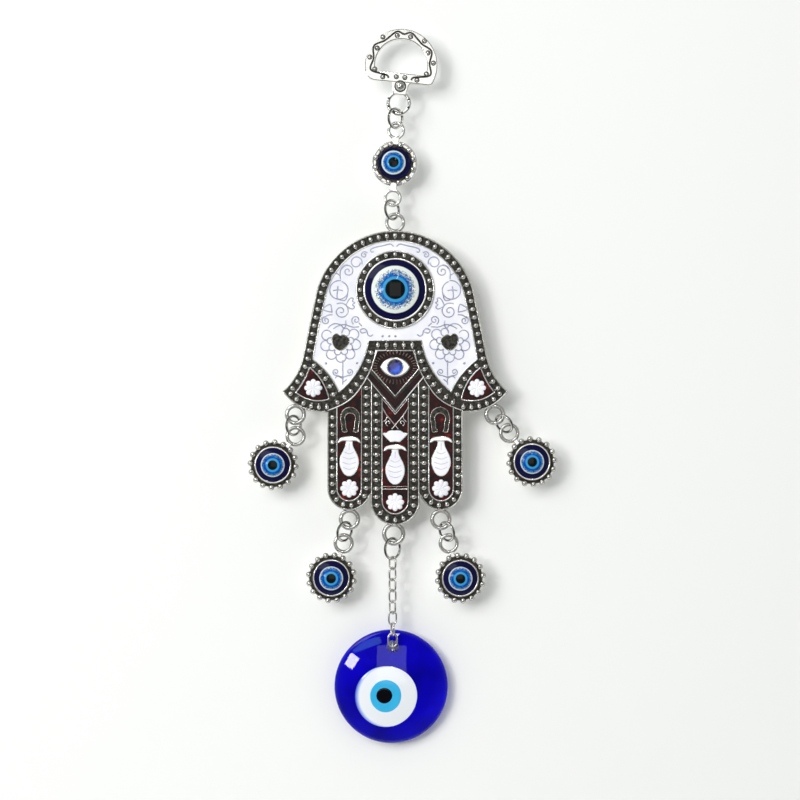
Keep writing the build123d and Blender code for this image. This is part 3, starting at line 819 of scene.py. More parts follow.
CHARM_EYE = eye_print("charm_eye_print", 5.85, [
    (1.7, INK), (2.4, SKY), (3.75, ROYAL), (4.15, PALE), (5.85, NAVY)], glitter=(2.5, 3.9, 0.26, 0.25))
CONNECTOR_EYE = eye_print("connector_eye_print", 5.0, [
    (1.8, INK), (2.4, SKY), (3.5, ROYAL), (4.2, PALE), (5.9, NAVY)], (-0.35, 0.2), (2.5, 3.7, 0.24, 0.25))
CENTRE_EYE = eye_print("centre_eye_print", 10.35, [
    (3.5, INK), (4.5, SKY), (6.8, ROYAL), (8.3, (0.78, 0.84, 0.80)), (10.35, NAVY)], glitter=(4.6, 7.1,
                                                                                              0.32, 0.0))


def build_mount(name, body, place, phase_turn, eye_r, edge, ring_r, ball_count, ball_r, back, bezel_top,
                bezel_finish):
    """A cast tray with a bezel and a rim of balls, for a domed eye."""
    tray = [(0, back), (edge - 0.35, back), (edge, back + 0.35), (edge, 0.0), (edge - 0.25, 0.3), (0, 0.3)]
    base = add_piece(name + "_tray", lathe(name + "_tray", tray, False, 128), place, BEADING, body)
    web = [(0, 0.2), (ring_r - 0.2, 0.2), (ring_r - 0.2, 0.5), (0, 0.55)]
    add_piece(name + "_recess", lathe(name + "_recess", web), place, DARK, body)
    bezel = ring_profile(eye_r + 0.02, eye_r + 0.62, 0.3, bezel_top, 0.2)
    add_piece(name + "_bezel", lathe(name + "_bezel", bezel, True), place, bezel_finish, body)
    centres = []
    for i in range(ball_count):
        angle = 2 * pi * (i + 0.5) / ball_count - radians(phase_turn)
        centres.append((ring_r * cos(angle), ring_r * sin(angle), 0.42))
    rim = balls(name + "_balls", centres, ball_r, 1.0, 24)
    add_piece(name + "_balls", rim, place, BALLS, body)
    return base


def build_charm(name):
    body = name + "_charm"
    eye = middle_of(name + "_charm_eye")
    lean = charm_lean(name)
    upright = facing(eye.x, eye.z)
    leaning = facing(eye.x, eye.z, lean)
    base = build_mount(name + "_charm", body, upright, lean, 5.85, 8.1, 7.95, 16, 1.0, -1.0, 1.6, POLISHED)
    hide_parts(name + "_charm_frame")
    loop = torus(name + "_charm_loop", CHARM_LOOP_R, MOUNT_WIRE_R)
    add_piece(name + "_charm_loop", loop, leaning @ Matrix.Translation((0, CHARM_LOOP_RISE * MM, 0)), WIRE, body)
    neck = [(-1.0, 7.6), (-0.8, 8.8), (-1.0, 9.7), (1.0, 9.7), (0.8, 8.8), (1.0, 7.6)]
    add_piece(name + "_charm_neck", plate(name + "_charm_neck", [neck], -0.5, 0.5, 0.25),
              leaning, POLISHED, body)
    dome = lathe(name + "_charm_dome", dome_profile(5.83, 0.55, 1.4, 3.3))
    lens = add_piece(name + "_charm_dome", dome, upright, CHARM_EYE, body)
    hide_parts(name + "_charm_eye")


def build_connector():
    eye = middle_of("connector_eye")
    upright = facing(eye.x, eye.z)
    base = build_mount("connector", "connector", upright, CONNECTOR_LEAN, 5.0, 7.85, 6.75, 12, 1.05,
                       -0.9, 1.3,
                       GLAZE)
    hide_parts("connector_frame")
    rim = torus("connector_rim", 7.6, 0.42, 0, 96)
    add_piece("connector_rim", rim, upright, POLISHED, "connector")
    for side, rise, end in ((1, 11.6, "top"), (-1, 12.0, "bottom")):
        name = f"connector_{end}_loop"
        loop = torus(name, CONNECTOR_LOOP_R, MOUNT_WIRE_R, 0, 80, 0.85)
        add_piece(name, loop, CONNECTOR @ Matrix.Translation((0, side * rise * MM, 0)), POLISHED,
                  "connector")
        neck = [(-1.5, 6.6), (-1.15, 8.0), (-1.35, 9.5), (1.35, 9.5), (1.15, 8.0), (1.5, 6.6)]
        neck = [(x, y * side) for x, y in neck]
        add_piece(name + "_neck", plate(name + "_neck", [neck], -0.5, 0.5, 0.22),
                  CONNECTOR, POLISHED, "connector")
    dome = lathe("connector_dome", dome_profile(4.98, 0.5, 1.3, 3.0))
    lens = add_piece("connector_dome", dome, upright, CONNECTOR_EYE, "connector")
    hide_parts("connector_eye")


# ================================================================ hamsa hand
def on_hand(name, data, finish, low=0.0, high=0.0):
    return add_piece(name, data, raised(HAND, low, high), finish, "hand")


def outline():
    """The hand's contour, from the apex clockwise as the viewer sees it."""
    loop = counter_clockwise(face_loops("hamsa_plate", HAND, True)[0])[::-1]
    top = max(range(len(loop)), key=lambda i: loop[i][1] - abs(loop[i][0]) * 0.01)
    return loop[top:] + loop[:top]


def stretch(line, start, end):
    """The part of a line between its points nearest to two (x, depth) points."""
    def nearest(point):
        return min(range(len(line)), key=lambda i: hypot(line[i][0] - point[0], line[i][1] + point[1]))
    return line[nearest(start):nearest(end) + 1]


def both(lines):
    """Lines and their mirror images."""
    return lines + [mirrored(line) for line in lines]


def border_lines(contour):
    """Middle lines of the beaded borders."""
    half = BORDER / 2
    arch = shifted(stretch(contour, (0, 0), (39.4, 56.2)), -half)
    bottom = shifted(stretch(contour, (39.4, 56.2), (23.7, 63.4)), -half)
    finger_in = 8.4 + half - 0.05
    finger_out = 23.7 - half
    side_finger = depths([(finger_out, 65.2), (finger_out, SIDE_TIP)])
    side_finger += arc((finger_out, -SIDE_TIP), (FINGER_X, -SIDE_TIP - 5.85), (finger_in, -SIDE_TIP))[1:]
    side_finger += depths([(finger_in, 55.0)])
    middle = depths([(6.55, 57.6), (6.55, MIDDLE_TIP)])
    middle += arc((6.55, -MIDDLE_TIP), (0, -MIDDLE_TIP - 6.75), (-6.55, -MIDDLE_TIP))[1:]
    middle += depths([(-6.55, 57.6)])
    sweep = arc((8.4, -42.6), (11.8, -51.3), (20.2, -60.0))
    corner = arc((28.4, -47.2), (24.3, -51.8), (21.6, -57.2))
    top = depths([(-6.0, 40.0), (6.0, 40.0)])
    return both([arch[:-2], bottom[2:], side_finger, sweep, corner]) + [middle, top]


def build_hand_casting():
    contour = outline()
    slab = on_hand("hamsa_slab", plate("hamsa_slab", [contour], -1.2, FLOOR, 0.35), CAST, low=-1.2,
                   high=FLOOR)
    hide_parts("hamsa_plate")
    inner = shifted(contour, -0.45, True)
    on_hand("hamsa_channels", plate("hamsa_channels", [inner], FLOOR - 0.2, FLOOR + 0.03, 0.01), DARK,
            low=FLOOR - 0.2, high=FLOOR + 0.03)
    on_hand("hamsa_outer_rim", wires("hamsa_outer_rim", [shifted(contour, -0.3, True)], 0.32,
                                     RIM_HEIGHT - 0.05, True), CAST)
    cells = ["white_enamel_field", "left_wing_red_enamel", "right_wing_red_enamel",
             "left_finger_red_enamel",
             "middle_finger_red_enamel", "right_finger_red_enamel", "shield_enamel"]
    loops = []
    for cell in cells:
        loops.append(face_loops(cell, HAND)[0])
    on_hand("hamsa_cell_rims", wires("hamsa_cell_rims", loops, RIM_R, RIM_HEIGHT, True), POLISHED)
    lines = [depths([(10.1, 51.0), (0, 63.3), (-10.1, 51.0)])]
    lines += both([depths([(SHARED_RIM_X, 53.2), (SHARED_RIM_X, 97.3)])])
    lines += both([arc((6.7, -41.6), (8.4, -48.0), (11.75, -54.4))])
    lines += both([arc((20.3, -61.6), (21.9, -62.3), (23.6, -62.8))])
    on_hand("hamsa_inner_rims", wires("hamsa_inner_rims", lines, RIM_R, RIM_HEIGHT), POLISHED)
    beads = []
    bars = []
    for line in border_lines(contour):
        spots = evenly(line, BEAD_PITCH)
        beads += [(x, y, FLOOR + 0.1) for x, y, _ in spots]
        for x, y, angle in spots:
            across = (-sin(angle) * 1.15, cos(angle) * 1.15)
            bars.append([(x - across[0], y - across[1]), (x + across[0], y + across[1])])
    on_hand("hamsa_border_beads", balls("hamsa_border_beads", beads, BEAD_R), BALLS)
    on_hand("hamsa_border_bars", wires("hamsa_border_bars", bars, 0.5, FLOOR - 0.28), CAST)


LOOP_EASE = 0.04                  # keeps a loop clear of its ring where the hinge stops
HAND_LOOPS = {                    # name: (x, depth, mean radius, wire radius)
    "top": (0.0, -2.9, 2.95, 0.63),
    "left_wing": (-34.9, 64.3, 3.0, 0.75),
    "right_wing": (34.9, 64.3, 3.0, 0.75),
    "left_finger": (-16.0, 101.0, 3.05, 0.75),
    "right_finger": (16.0, 101.0, 3.05, 0.75),
    "middle_finger": (-0.5, 106.1, 3.35, 0.8),
}


def build_hand_loops():
    for name, (x, depth, radius, wire) in HAND_LOOPS.items():
        place = HAND @ Matrix.Translation((x * MM, -depth * MM, 0))
        add_piece(f"hamsa_{name}_loop", torus(f"hamsa_{name}_loop", radius, wire - LOOP_EASE), place,
                  WIRE, "hand")


def build_centre_eye():
    place = HAND @ Matrix.Translation((0, -EYE_DROP * MM, 0))
    seat = ring_profile(10.4, 13.7, 0.6, 1.45, 0.1)
    add_piece("centre_eye_seat", lathe("centre_eye_seat", seat, True, 128), place, DARK, "hand")
    rim = torus("centre_eye_outer_rim", 13.45, 0.3, 0, 128)
    add_piece("centre_eye_outer_rim", rim, place @ Matrix.Translation((0, 0, 1.55 * MM)), POLISHED,
              "hand")
    bezel = ring_profile(10.37, 11.15, 1.0, 2.3, 0.28)
    add_piece("centre_eye_bezel", lathe("centre_eye_bezel", bezel, True, 128), place, POLISHED, "hand")
    centres = [(12.3 * cos(2 * pi * i / 24), 12.3 * sin(2 * pi * i / 24), 1.45) for i in range(24)]
    add_piece("centre_eye_beads", balls("centre_eye_beads", centres, 0.92), place, BALLS, "hand")
    dome = lathe("centre_eye_lens", dome_profile(10.33, 1.5, 2.1, 5.0, 24), False, 128)
    lens = add_piece("centre_eye_lens", dome, place, CENTRE_EYE, "hand")
    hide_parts("centre_eye_dome")


def build_small_eye():
    """The silver almond with its stone, and the rays cast round it."""
    low = (5.3, -47.7)
    almond = arc((-5.3, -47.7), (0, -44.2), low)[:-1] + arc(low, (0, -51.2), (-5.3, -47.7))[:-1]
    on_hand("small_eye_almond", plate("small_eye_almond", [almond], 0.7, 1.75, 0.4), POLISHED, low=0.7,
            high=1.75)
    rays = []
    for i in range(36):
        angle = radians(10 * i + 5)
        reach = 1.25 if sin(angle) > 0 else 1.5
        near = (6.3 * cos(angle), -47.7 + 4.5 * sin(angle))
        far = (7.6 * cos(angle), -47.7 + (4.5 + reach) * sin(angle))
        rays.append([near, far])
    on_hand("small_eye_rays", wires("small_eye_rays", rays, 0.19, ENAMEL + 0.02), BRONZE)
    place = HAND @ Matrix.Translation((0, -47.7 * MM, 0))
    profile = [(0, 1.3), (2.68, 1.3), (2.68, 1.7), (1.6, 2.75), (0, 2.8)]
    stone = lathe("small_eye_stone", profile, False, 12, 5)
    gem = add_piece("small_eye_stone", stone, place, stone_finish(), "hand")
    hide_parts("rhinestone")
    on_ring = torus("small_eye_claw_ring", 2.75, 0.2)
    add_piece("small_eye_claw_ring", on_ring, place @ Matrix.Translation((0, 0, 1.72 * MM)), CAST,
              "hand")


def flower_mesh(name, places, radius):
    """Eight-petalled rosettes: domed petals with grooves between them."""
    shape = bmesh.new()
    around = 96
    shares = (0.16, 0.4, 0.62, 0.8, 0.92, 1.0, 1.0)
    lifts = (0.42, 0.5, 0.52, 0.46, 0.32, 0.12, -0.2)
    for cx, cy in places:
        rings = []
        for share, lift in zip(shares, lifts):
            ring = []
            for i in range(around):
                angle = 2 * pi * i / around
                petal = abs(cos(4 * angle)) ** 0.7
                r = radius * share * (1 - 0.24 * share ** 2 * (1 - petal))
                height = ENAMEL + lift * (0.35 + 0.65 * petal)
                ring.append(shape.verts.new(((cx + r * cos(angle)) * MM, (cy + r * sin(angle)) * MM,
                                             height * MM)))
            rings.append(ring)
        centre = shape.verts.new((cx * MM, cy * MM, (ENAMEL + 0.34) * MM))
        foot = shape.verts.new((cx * MM, cy * MM, (ENAMEL - 0.2) * MM))
        for a, b in zip(rings, rings[1:]):
            for i in range(around):
                j = (i + 1) % around
                shape.faces.new((a[i], a[j], b[j], b[i]))
        for i in range(around):
            j = (i + 1) % around
            shape.faces.new((centre, rings[0][j], rings[0][i]))
            shape.faces.new((foot, rings[-1][i], rings[-1][j]))
    return finished_mesh(name, shape, 60)


def build_flowers():
    places = depths([(-28.6, 55.0), (28.6, 55.0), (-FINGER_X, 90.1), (FINGER_X, 90.1), (0, 94.9)])
    flowers = on_hand("white_flowers_raised", flower_mesh("white_flowers_raised", places, 3.15), WHITE)
    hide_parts("white_flowers")


FISH_TOPS = [(-FINGER_X, 71.7), (FINGER_X, 71.7), (0, 74.6)]


def fish_body(x, top):
    """Half a fish is drawn from its tail's root to its nose, and mirrored."""
    half = smooth([(1.1, -1.9), (1.25, -3.4), (2.0, -5.1), (3.0, -7.2), (3.3, -9.2), (3.0, -11.0),
                   (2.0, -13.0), (0.8, -13.9), (0, -14.0)], 6)
    loop = half + mirrored(half)[-2::-1]
    return [(x + px, py - top) for px, py in loop]


def fish_tail(x, top):
    """The tail is an arched band across the finger."""
    half = smooth([(0, 0), (2.0, -0.3), (3.4, -1.0), (4.15, -2.4), (3.3, -2.35), (2.2, -1.85),
                   (0, -1.95)], 6)
    loop = half + mirrored(half)[-2:0:-1]
    return [(x + px, py - top) for px, py in loop]


def build_fish():
    """White fish with silver outlines and tails, and the white half moon above the middle one."""
    bodies = [fish_body(x, top) for x, top in FISH_TOPS]
    tails = [fish_tail(x, top) for x, top in FISH_TOPS]
    side = smooth(depths([(0, 69.9), (1.7, 69.9), (3.0, 70.7), (4.3, 70.9), (3.4, 72.1), (2.4, 73.1),
                          (1.5, 73.8), (0, 73.6)]), 6)
    moon = side + mirrored(side)[-2:0:-1]
    fish = on_hand("white_fish_raised", plate("white_fish_raised", bodies + [moon], 0.9, 1.66, 0.34),
                   WHITE, 0.9, 1.66)
    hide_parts("white_fish")
    on_hand("fish_tails", plate("fish_tails", tails, 0.9, 1.7, 0.28), POLISHED, low=0.9, high=1.7)
    on_hand("fish_rims", wires("fish_rims", bodies + [moon], 0.17, ENAMEL + 0.12, True), CAST)
    scales = []
    for x, top in FISH_TOPS:
        for drop, reach in ((5.6, 1.6), (7.4, 2.2), (9.2, 2.4), (11.0, 2.1)):
            scales.append(smooth([(x - reach, -top - drop), (x, -top - drop - 0.7),
                                  (x + reach, -top - drop)], 6))
        scales.append([(x, -top - 2.6), (x, -top - 5.0)])
    on_hand("fish_scales", wires("fish_scales", scales, 0.1, 1.62), SCROLL)


def build_horseshoes():
    shoes = []
    nails = []
    for x in (-15.7, 15.7):
        outer = smooth(depths([(-1.0, 70.2), (-2.6, 70.3), (-3.0, 68.0), (-3.35, 65.4), (-2.5, 62.9),
                               (0, 61.7),
                               (2.5, 62.9), (3.35, 65.4), (3.0, 68.0), (2.6, 70.3), (1.0, 70.2)]), 6)
        inner = smooth(depths([(1.5, 68.9), (1.6, 67.2), (1.9, 65.6), (1.4, 64.3), (0, 63.7), (-1.4, 64.3),
                               (-1.9, 65.6), (-1.6, 67.2), (-1.5, 68.9)]), 6)
        shoes.append([(px + x, py) for px, py in outer + inner])
        for a in range(-40, 221, 52):
            nails.append((x + 2.6 * cos(radians(a)), -65.4 + 2.6 * sin(radians(a)), 1.62))
    shape = on_hand("horseshoes_raised", plate("horseshoes_raised", shoes, 0.9, 1.5, 0.2), DARK,
                    low=0.9, high=1.5)
    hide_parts("horseshoes")
    on_hand("horseshoe_rims", wires("horseshoe_rims", shoes, 0.15, 1.36, True), CAST)
    on_hand("horseshoe_nails", balls("horseshoe_nails", nails, 0.2), DARK)


def build_middle_finger_lines():
    """The crossing stems with curls above the half moon, and the double bar below the fish."""
    stem = smooth(depths([(4.45, 61.8), (3.1, 64.2), (1.0, 66.8), (-1.1, 69.3)]), 8)
    curl = spiral(-2.3, -67.2, 1.1, 250, -0.85)
    leaf = smooth(depths([(-2.9, 64.4), (-2.9, 65.6), (-3.9, 66.8)]), 6)
    lines = both([stem, curl, leaf])
    lines += [depths([(-4.5, 90.3), (4.5, 90.3)])]
    on_hand("middle_finger_scrolls", wires("middle_finger_scrolls", lines, 0.2, ENAMEL + 0.06), POLISHED)
    on_hand("middle_finger_bar", wires("middle_finger_bar", [depths([(-4.5, 89.4), (4.5, 89.4)])], 0.13,
                                       ENAMEL + 0.03), CAST)


# ================================================================ scrolls in the white field
FLOWER_HEART = (19.1, 38.9)


def petals(turns, near, far, spread):
    """Round petals about a flower's heart at these angles, each an arc from foot to foot."""
    lines = []
    for turn in turns:
        foot_a = heart_point(turn - spread, near)
        foot_b = heart_point(turn + spread, near)
        lines.append(arc(foot_a, heart_point(turn, far), foot_b, 14))
    return lines


def heart_point(angle, radius):
    """A point round the right-hand flower's heart."""
    return (FLOWER_HEART[0] + radius * cos(radians(angle)), -FLOWER_HEART[1] + radius * sin(radians(angle)))


def scroll_lines():
    """The drawing in the right half of the field."""
    lines = [
        smooth(depths([(0.5, 5.6), (1.1, 5.0), (1.9, 4.7), (4.3, 5.3), (7.1, 5.9), (8.5, 6.6),
                       (8.3, 7.5), (7.5, 7.4)])),
        spiral(10.8, -8.5, 1.25, 150, -1.3),
        spiral(13.6, -11.1, 2.1, 200, -1.05, 1.4),
        spiral(16.5, -14.2, 2.3, 20, 1.55),
        smooth(depths([(16.6, 11.9), (18.3, 12.6), (19.2, 14.4), (19.2, 17.0)])),
        smooth(depths([(19.2, 15.8), (20.4, 15.0), (21.9, 15.6), (22.4, 16.8)])),
        spiral(19.6, -20.8, 3.35, 100, -0.98, 3.1),
        smooth(depths([(16.6, 22.3), (17.6, 24.4), (20.2, 23.6), (20.1, 20.8), (20.0, 19.4)])),
        smooth(depths([(18.3, 21.0), (20.0, 20.7), (21.7, 21.0)])),
        smooth(depths([(17.2, 26.0), (15.9, 23.8), (14.7, 23.7), (14.9, 24.7), (14.1, 25.2), (14.9, 25.9),
                       (14.2, 26.7), (15.0, 27.4), (16.4, 26.8), (17.2, 26.0)])),
        spiral(18.9, -28.2, 3.0, 60, 1.7),
        smooth(depths([(22.0, 28.6), (22.7, 25.8), (25.2, 27.5), (22.0, 28.6)]), 5),
        smooth(depths([(21.9, 29.4), (23.6, 29.6), (25.0, 30.6)])),
        spiral(24.2, -31.4, 1.5, 70, -1.4),
        spiral(13.7, -31.3, 1.65, 300, 1.4),
        smooth(depths([(11.6, 33.4), (12.4, 32.6), (12.6, 32.2)])),
        smooth(depths([(12.6, 33.6), (15.0, 33.7), (17.4, 32.9), (19.6, 33.2), (21.6, 34.3)])),
        smooth(depths([(17.3, 31.4), (17.3, 33.1), (18.2, 34.6), (18.7, 35.6)])),
        smooth(depths([(7.7, 36.3), (8.6, 36.9), (9.5, 36.4), (10.0, 34.9), (11.0, 34.3), (12.2, 34.8),
                       (11.6, 35.8), (10.2, 35.5)])),
        depths([(18.3, 45.3), (18.3, 53.8)]),
        smooth(depths([(18.3, 51.7), (20.0, 50.9), (21.0, 51.6)]), 5),
        smooth(depths([(18.3, 53.0), (16.9, 52.0)]), 3),
        spiral(20.7, -49.4, 1.25, 250, 1.35),
        spiral(15.9, -49.4, 1.25, 290, -1.35),
        smooth(depths([(18.3, 51.3), (19.4, 50.9), (20.3, 50.6)]), 4),
        smooth(depths([(18.3, 51.3), (17.2, 50.9), (16.3, 50.6)]), 4),
    ]
    lines += petals((-92, -54, -14, 26, 150, 190, 232), 4.5, 7.1, 18)
    lines += petals((-112, -74, -34, 6, 172, 210), 3.3, 4.7, 17)
    lines.append(arc(heart_point(48, 6.4), heart_point(75, 6.6), heart_point(104, 4.6), 14))
    lines.append(arc(heart_point(100, 3.0), heart_point(118, 5.2), heart_point(136, 3.0), 14))
    return lines


def heart_outline():
    """The bare dark spot at each flower's heart: like an apple, with a notch at its top."""
    loop = smooth([(0.2, 2.1), (1.1, 2.8), (2.2, 2.6), (2.9, 1.3), (2.7, -0.6), (1.6, -2.3), (0.2, -2.95),
                   (-1.3, -2.5), (-2.7, -0.9), (-3.1, 0.7), (-2.2, 1.9), (-0.9, 2.5), (0.2, 2.1)], 6)[:-1]
    return [(FLOWER_HEART[0] + x, -FLOWER_HEART[1] + y) for x, y in loop]


def build_white_field():
    on_hand("field_scrolls", wires("field_scrolls", both(scroll_lines()), 0.21, ENAMEL - 0.05), SCROLL)
    dots = depths([(-4.4, 36.9), (-2.1, 36.9), (0.1, 36.9), (24.2, 46.4), (13.3, 46.3), (-24.2, 46.4),
                   (-13.3, 46.3)])
    on_hand("field_dots", balls("field_dots", [(x, y, ENAMEL) for x, y in dots], 0.42, 0.4), SCROLL)
    apples = both([heart_outline()])
    on_hand("field_dark_hearts", plate("field_dark_hearts", apples, 0.9, 1.28, 0.08), DARK, low=0.9,
            high=1.28)
    on_hand("field_heart_rims", wires("field_heart_rims", apples, 0.16, ENAMEL + 0.02, True), CAST)


def finish_cad_enamel():
    """CAD pieces whose shape is right keep it, and get their enamel."""
    finishes = {
        "white_enamel_field": WHITE, "left_wing_red_enamel": RED, "right_wing_red_enamel": RED,
        "left_finger_red_enamel": RED, "middle_finger_red_enamel": RED, "right_finger_red_enamel": RED,
        "shield_enamel": BLACK, "chevron_enamel": BLACK, "centre_eye_disc": POLISHED,
    }
    for node, finish in finishes.items():
        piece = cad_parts[node]
        piece.data.materials.clear()
        piece.data.materials.append(finish)


# ================================================================ glass bead
def bead_place():
    """The middle of the glass bead's girdle."""
    low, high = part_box("bead_glass")
    return facing((low.x + high.x) / 2, (low.z + high.z) / 2, 0, 4.2 * MM)


def build_bead():
    place = bead_place()
    radius = half_width("bead_glass")
    crown, back = 4.4, 2.5
    front = [p for p in dome_profile(radius - 0.7, -1.1, 1.1, crown, 24)[3:]]
    rear = [(r, -h + 0) for r, h in dome_profile(radius - 0.7, -1.1, 1.1, back, 12)[3:]][::-1]
    side = [(radius - 0.25, -0.75), (radius - 0.02, -0.3), (radius, 0), (radius - 0.02, 0.3),
            (radius - 0.25, 0.75)]
    lens = lathe("bead_body", rear + side + front, False, 160, 80)
    body = add_piece("bead_body", lens, place, COBALT, "bead")
    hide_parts("bead_glass")
    hole = middle_of("hole_link_front")
    drill = bpy.data.objects.new("bead_drill",
                                 lathe("bead_drill", [(0, -9), (2.1, -9), (2.1, 9), (0, 9)], False, 48))
    bpy.context.scene.collection.objects.link(drill)
    drill.matrix_world = facing(hole.x, hole.z, 0, 4.2 * MM)
    cut = body.modifiers.new("hole", "BOOLEAN")
    cut.operation = "DIFFERENCE"
    cut.solver = "EXACT"
    cut.object = drill
    apply_modifiers(body)
    bpy.data.objects.remove(drill)
    sphere = ((radius - 0.7) ** 2 + 3.3 ** 2) / (2 * 3.3)
    spots = {
        "bead_white": (10.8, 1.0, 0.10, MILK), "bead_light_blue": (5.5, 1.06, 0.22, AQUA),
        "bead_pupil": (2.85, 1.0, 0.34, JET),
    }
    shift = {"bead_white": (0, 0), "bead_light_blue": (-0.1, 0.25), "bead_pupil": (-0.6, 0.45)}
    middle = middle_of("bead_white")
    origin = ((middle.x - place.translation.x) / MM, (middle.z - place.translation.z) / MM)
    for node, (spot_r, stretch_y, proud, finish) in spots.items():
        centre = (origin[0] + shift[node][0], origin[1] + shift[node][1])
        mesh = melted_spot(node, centre, spot_r, stretch_y, proud, sphere, crown)
        piece = add_piece(node + "_spot", mesh, place, finish, "bead")
        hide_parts(node)


def melted_spot(name, centre, radius, stretch_y, proud, sphere, crown):
    """A drop of glass melted flat on the bead's round front, a little proud of it."""
    shape = bmesh.new()
    around = 96
    shares = (0.15, 0.35, 0.55, 0.72, 0.86, 0.94, 0.98, 1.0, 0.985, 0.9)
    lifts = (1.0, 1.0, 1.0, 1.0, 0.98, 0.9, 0.6, 0.0, -3.0, -5.0)
    rings = []
    for share, lift in zip(shares, lifts):
        ring = []
        for i in range(around):
            angle = 2 * pi * i / around
            r = radius * share * (1 + 0.012 * sin(2 * angle + 0.7) + 0.006 * sin(3 * angle))
            x = centre[0] + r * cos(angle)
            y = centre[1] + r * sin(angle) * stretch_y
            height = crown - sphere + (sphere ** 2 - x * x - y * y) ** 0.5 + proud * lift
            ring.append(shape.verts.new((x * MM, y * MM, height * MM)))
        rings.append(ring)
    for a, b in zip(rings, rings[1:]):
        for i in range(around):
            j = (i + 1) % around
            shape.faces.new((a[i], a[j], b[j], b[i]))
    shape.faces.new(rings[0])
    shape.faces.new(rings[-1])
    return finished_mesh(name, shape, 80)


def apply_modifiers(piece):
    """Turn a piece into the mesh that its modifiers make."""
    graph = bpy.context.evaluated_depsgraph_get()
    mesh = bpy.data.meshes.new_from_object(piece.evaluated_get(graph))
    piece.modifiers.clear()
    piece.data = mesh
    for polygon in mesh.polygons:
        polygon.use_smooth = True
    mesh.set_sharp_from_angle(angle=radians(40))


COBALT = glass("cobalt_glass", (0.006, 0.001, 0.80), (0.003, 0.0005, 0.36), 0.45)
MILK = milk_glass()
AQUA = glass("light_blue_glass", (0.05, 0.50, 0.84), (0.035, 0.42, 0.76), 0.0, 0.08)
JET = glass("black_glass", (0.004, 0.003, 0.006), (0.002, 0.002, 0.003), 0.0, 0.06)


# ================================================================ studio
def wall_material():
    """Pale matt wall.  It is solid only from the front, so the ornament's back can be seen and lit."""
    material = bpy.data.materials.new("pale_wall")
    material.use_nodes = True
    tree = material.node_tree
    tree.nodes.clear()
    matt = tree.nodes.new("ShaderNodeBsdfDiffuse")
    matt.inputs["Color"].default_value = (0.93, 0.94, 0.93, 1)
    clear = tree.nodes.new("ShaderNodeBsdfTransparent")
    side = tree.nodes.new("ShaderNodeNewGeometry")
    light = tree.nodes.new("ShaderNodeLightPath")
    either = tree.nodes.new("ShaderNodeMath")
    either.operation = "MAXIMUM"
    tree.links.new(side.outputs["Backfacing"], either.inputs[0])
    tree.links.new(light.outputs["Is Shadow Ray"], either.inputs[1])
    mixed = tree.nodes.new("ShaderNodeMixShader")
    tree.links.new(either.outputs[0], mixed.inputs[0])
    tree.links.new(matt.outputs[0], mixed.inputs[1])
    tree.links.new(clear.outputs[0], mixed.inputs[2])
    out = tree.nodes.new("ShaderNodeOutputMaterial")
    tree.links.new(mixed.outputs[0], out.inputs["Surface"])
    return material


def stage_plane(name, corners, material):
    mesh = bpy.data.meshes.new(name)
    mesh.from_pydata(corners, [], [(0, 1, 2, 3)])
    mesh.materials.append(material)
    plane = bpy.data.objects.new(name, mesh)
    bpy.context.scene.collection.objects.link(plane)


def build_stage():
    low, high = CAD_BOX
    wall_y = high.y + WALL_GAP
    middle = (low + high) / 2
    wide = 0.9
    foot = low.z - 0.22
    stage_plane("wall", [(-wide, wall_y, foot), (wide, wall_y, foot), (wide, wall_y, middle.z + wide),
                         (-wide, wall_y, middle.z + wide)], wall_material())
    floor = bpy.data.materials.new("pale_floor")
    floor.use_nodes = True
    floor.node_tree.nodes["Principled BSDF"].inputs["Base Color"].default_value = (0.86, 0.86, 0.85, 1)
    floor.node_tree.nodes["Principled BSDF"].inputs["Roughness"].default_value = 0.7
    stage_plane("floor", [(-wide, -0.12, foot), (wide, -0.12, foot), (wide, wide, foot),
                          (-wide, wide, foot)], floor)


def aim(thing, target):
    thing.rotation_euler = (Vector(target) - thing.location).to_track_quat("-Z", "Y").to_euler()


def add_light(name, direction, distance, size, power, hide_from="", colour=(1.0, 0.995, 0.98), roll=0.0):
    """A soft panel that looks at the ornament from a direction."""
    centre = (CAD_BOX[0] + CAD_BOX[1]) / 2
    lamp = bpy.data.lights.new(name, "AREA")
    lamp.shape = "RECTANGLE"
    lamp.size, lamp.size_y = size
    lamp.energy = power
    lamp.color = colour
    panel = bpy.data.objects.new(name, lamp)
    bpy.context.scene.collection.objects.link(panel)
    panel.location = centre + Vector(direction).normalized() * distance
    panel.visible_glossy = hide_from != "reflections"
    panel.visible_diffuse = hide_from != "matt surfaces"
    aim(panel, centre)
    panel.rotation_euler.rotate_axis("Z", radians(roll))


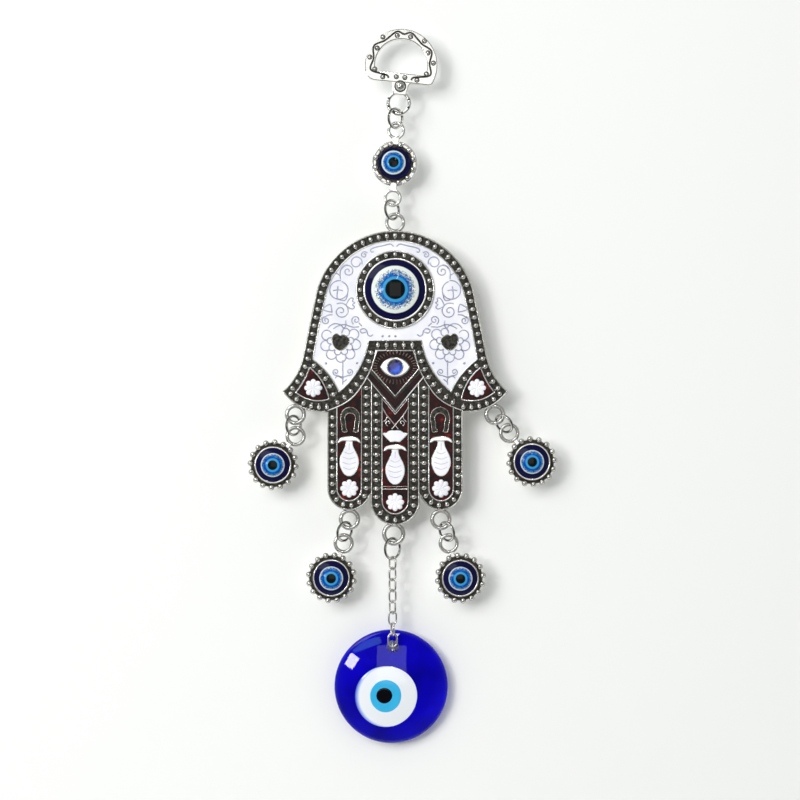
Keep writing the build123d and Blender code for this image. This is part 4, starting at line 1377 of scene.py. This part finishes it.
def build_light():
    """Soft light from the upper left, bright walls all round, and a dim room behind the camera.

    The key lights matt surfaces; the cards and the windows show as reflections."""
    add_light("key", (-0.46, -0.85, 0.30), 1.5, (0.9, 0.7), 13.0, "reflections")
    add_light("front_card", (0, -1, 0.08), 1.24, (0.5, 0.62), 1.2, "matt surfaces")
    add_light("upper_card", (-0.55, -0.55, 0.65), 1.4, (1.0, 0.7), 5.0, "matt surfaces")
    add_light("window", (-0.50, -0.86, 0.07), 1.0, (0.13, 0.17), 1.6, roll=-30)
    add_light("high_window", (0.08, -0.85, 0.50), 1.2, (0.06, 0.2), 0.9, roll=-20)
    add_light("skylight", (-0.32, -0.88, 0.31), 1.3, (0.50, 0.12), 0.35, "matt surfaces",
              (0.35, 0.85, 1.0), 25)
    add_light("back_soft", (0.5, 0.9, 0.5), 1.5, (1.0, 1.0), 7)
    world = bpy.data.worlds.new("studio")
    bpy.context.scene.world = world
    world.use_nodes = True
    tree = world.node_tree
    sky = tree.nodes["Background"]
    where = tree.nodes.new("ShaderNodeTexCoord")
    apart = tree.nodes.new("ShaderNodeSeparateXYZ")
    tree.links.new(where.outputs["Generated"], apart.inputs[0])
    room = tree.nodes.new("ShaderNodeMapRange")
    room.inputs["From Min"].default_value = -0.85
    room.inputs["From Max"].default_value = -0.55
    room.inputs["To Min"].default_value = 0.10
    room.inputs["To Max"].default_value = 0.75
    tree.links.new(apart.outputs["Y"], room.inputs["Value"])
    light = tree.nodes.new("ShaderNodeLightPath")
    dimmed = tree.nodes.new("ShaderNodeMath")
    dimmed.operation = "MULTIPLY"
    dimmed.inputs[1].default_value = 0.45
    tree.links.new(room.outputs["Result"], dimmed.inputs[0])
    mirrored_room = tree.nodes.new("ShaderNodeMix")
    tree.links.new(light.outputs["Is Glossy Ray"], mirrored_room.inputs["Factor"])
    tree.links.new(room.outputs["Result"], mirrored_room.inputs["A"])
    tree.links.new(dimmed.outputs[0], mirrored_room.inputs["B"])
    seen = tree.nodes.new("ShaderNodeMix")
    seen.inputs["B"].default_value = 0.85
    tree.links.new(light.outputs["Is Camera Ray"], seen.inputs["Factor"])
    tree.links.new(mirrored_room.outputs["Result"], seen.inputs["A"])
    sky.inputs["Color"].default_value = (0.95, 0.97, 0.97, 1)
    tree.links.new(seen.outputs["Result"], sky.inputs["Strength"])


def build_camera():
    """Square on, with the frame 280 mm wide at the ornament, as near as an ordinary close-up."""
    view_width = 0.280
    lens = 85.0
    picture_x = -0.0009
    picture_z = -0.1258
    camera = bpy.data.cameras.new("camera")
    camera.lens = lens
    camera.sensor_width = 36.0
    camera.clip_end = 10
    holder = bpy.data.objects.new("camera", camera)
    bpy.context.scene.collection.objects.link(holder)
    holder.location = (picture_x, -view_width * lens / camera.sensor_width, picture_z)
    holder.rotation_euler = (radians(90), 0, 0)
    bpy.context.scene.camera = holder


build_camera()
build_stage()
build_hanger()
build_rings_and_chain()
build_connector()
for charm in ("left_wing", "right_wing", "left_finger", "right_finger"):
    build_charm(charm)
build_hand_casting()
build_hand_loops()
build_centre_eye()
build_small_eye()
build_flowers()
build_fish()
build_horseshoes()
build_middle_finger_lines()
build_white_field()
finish_cad_enamel()
build_bead()
build_light()
bpy.context.scene.view_settings.view_transform = "Standard"
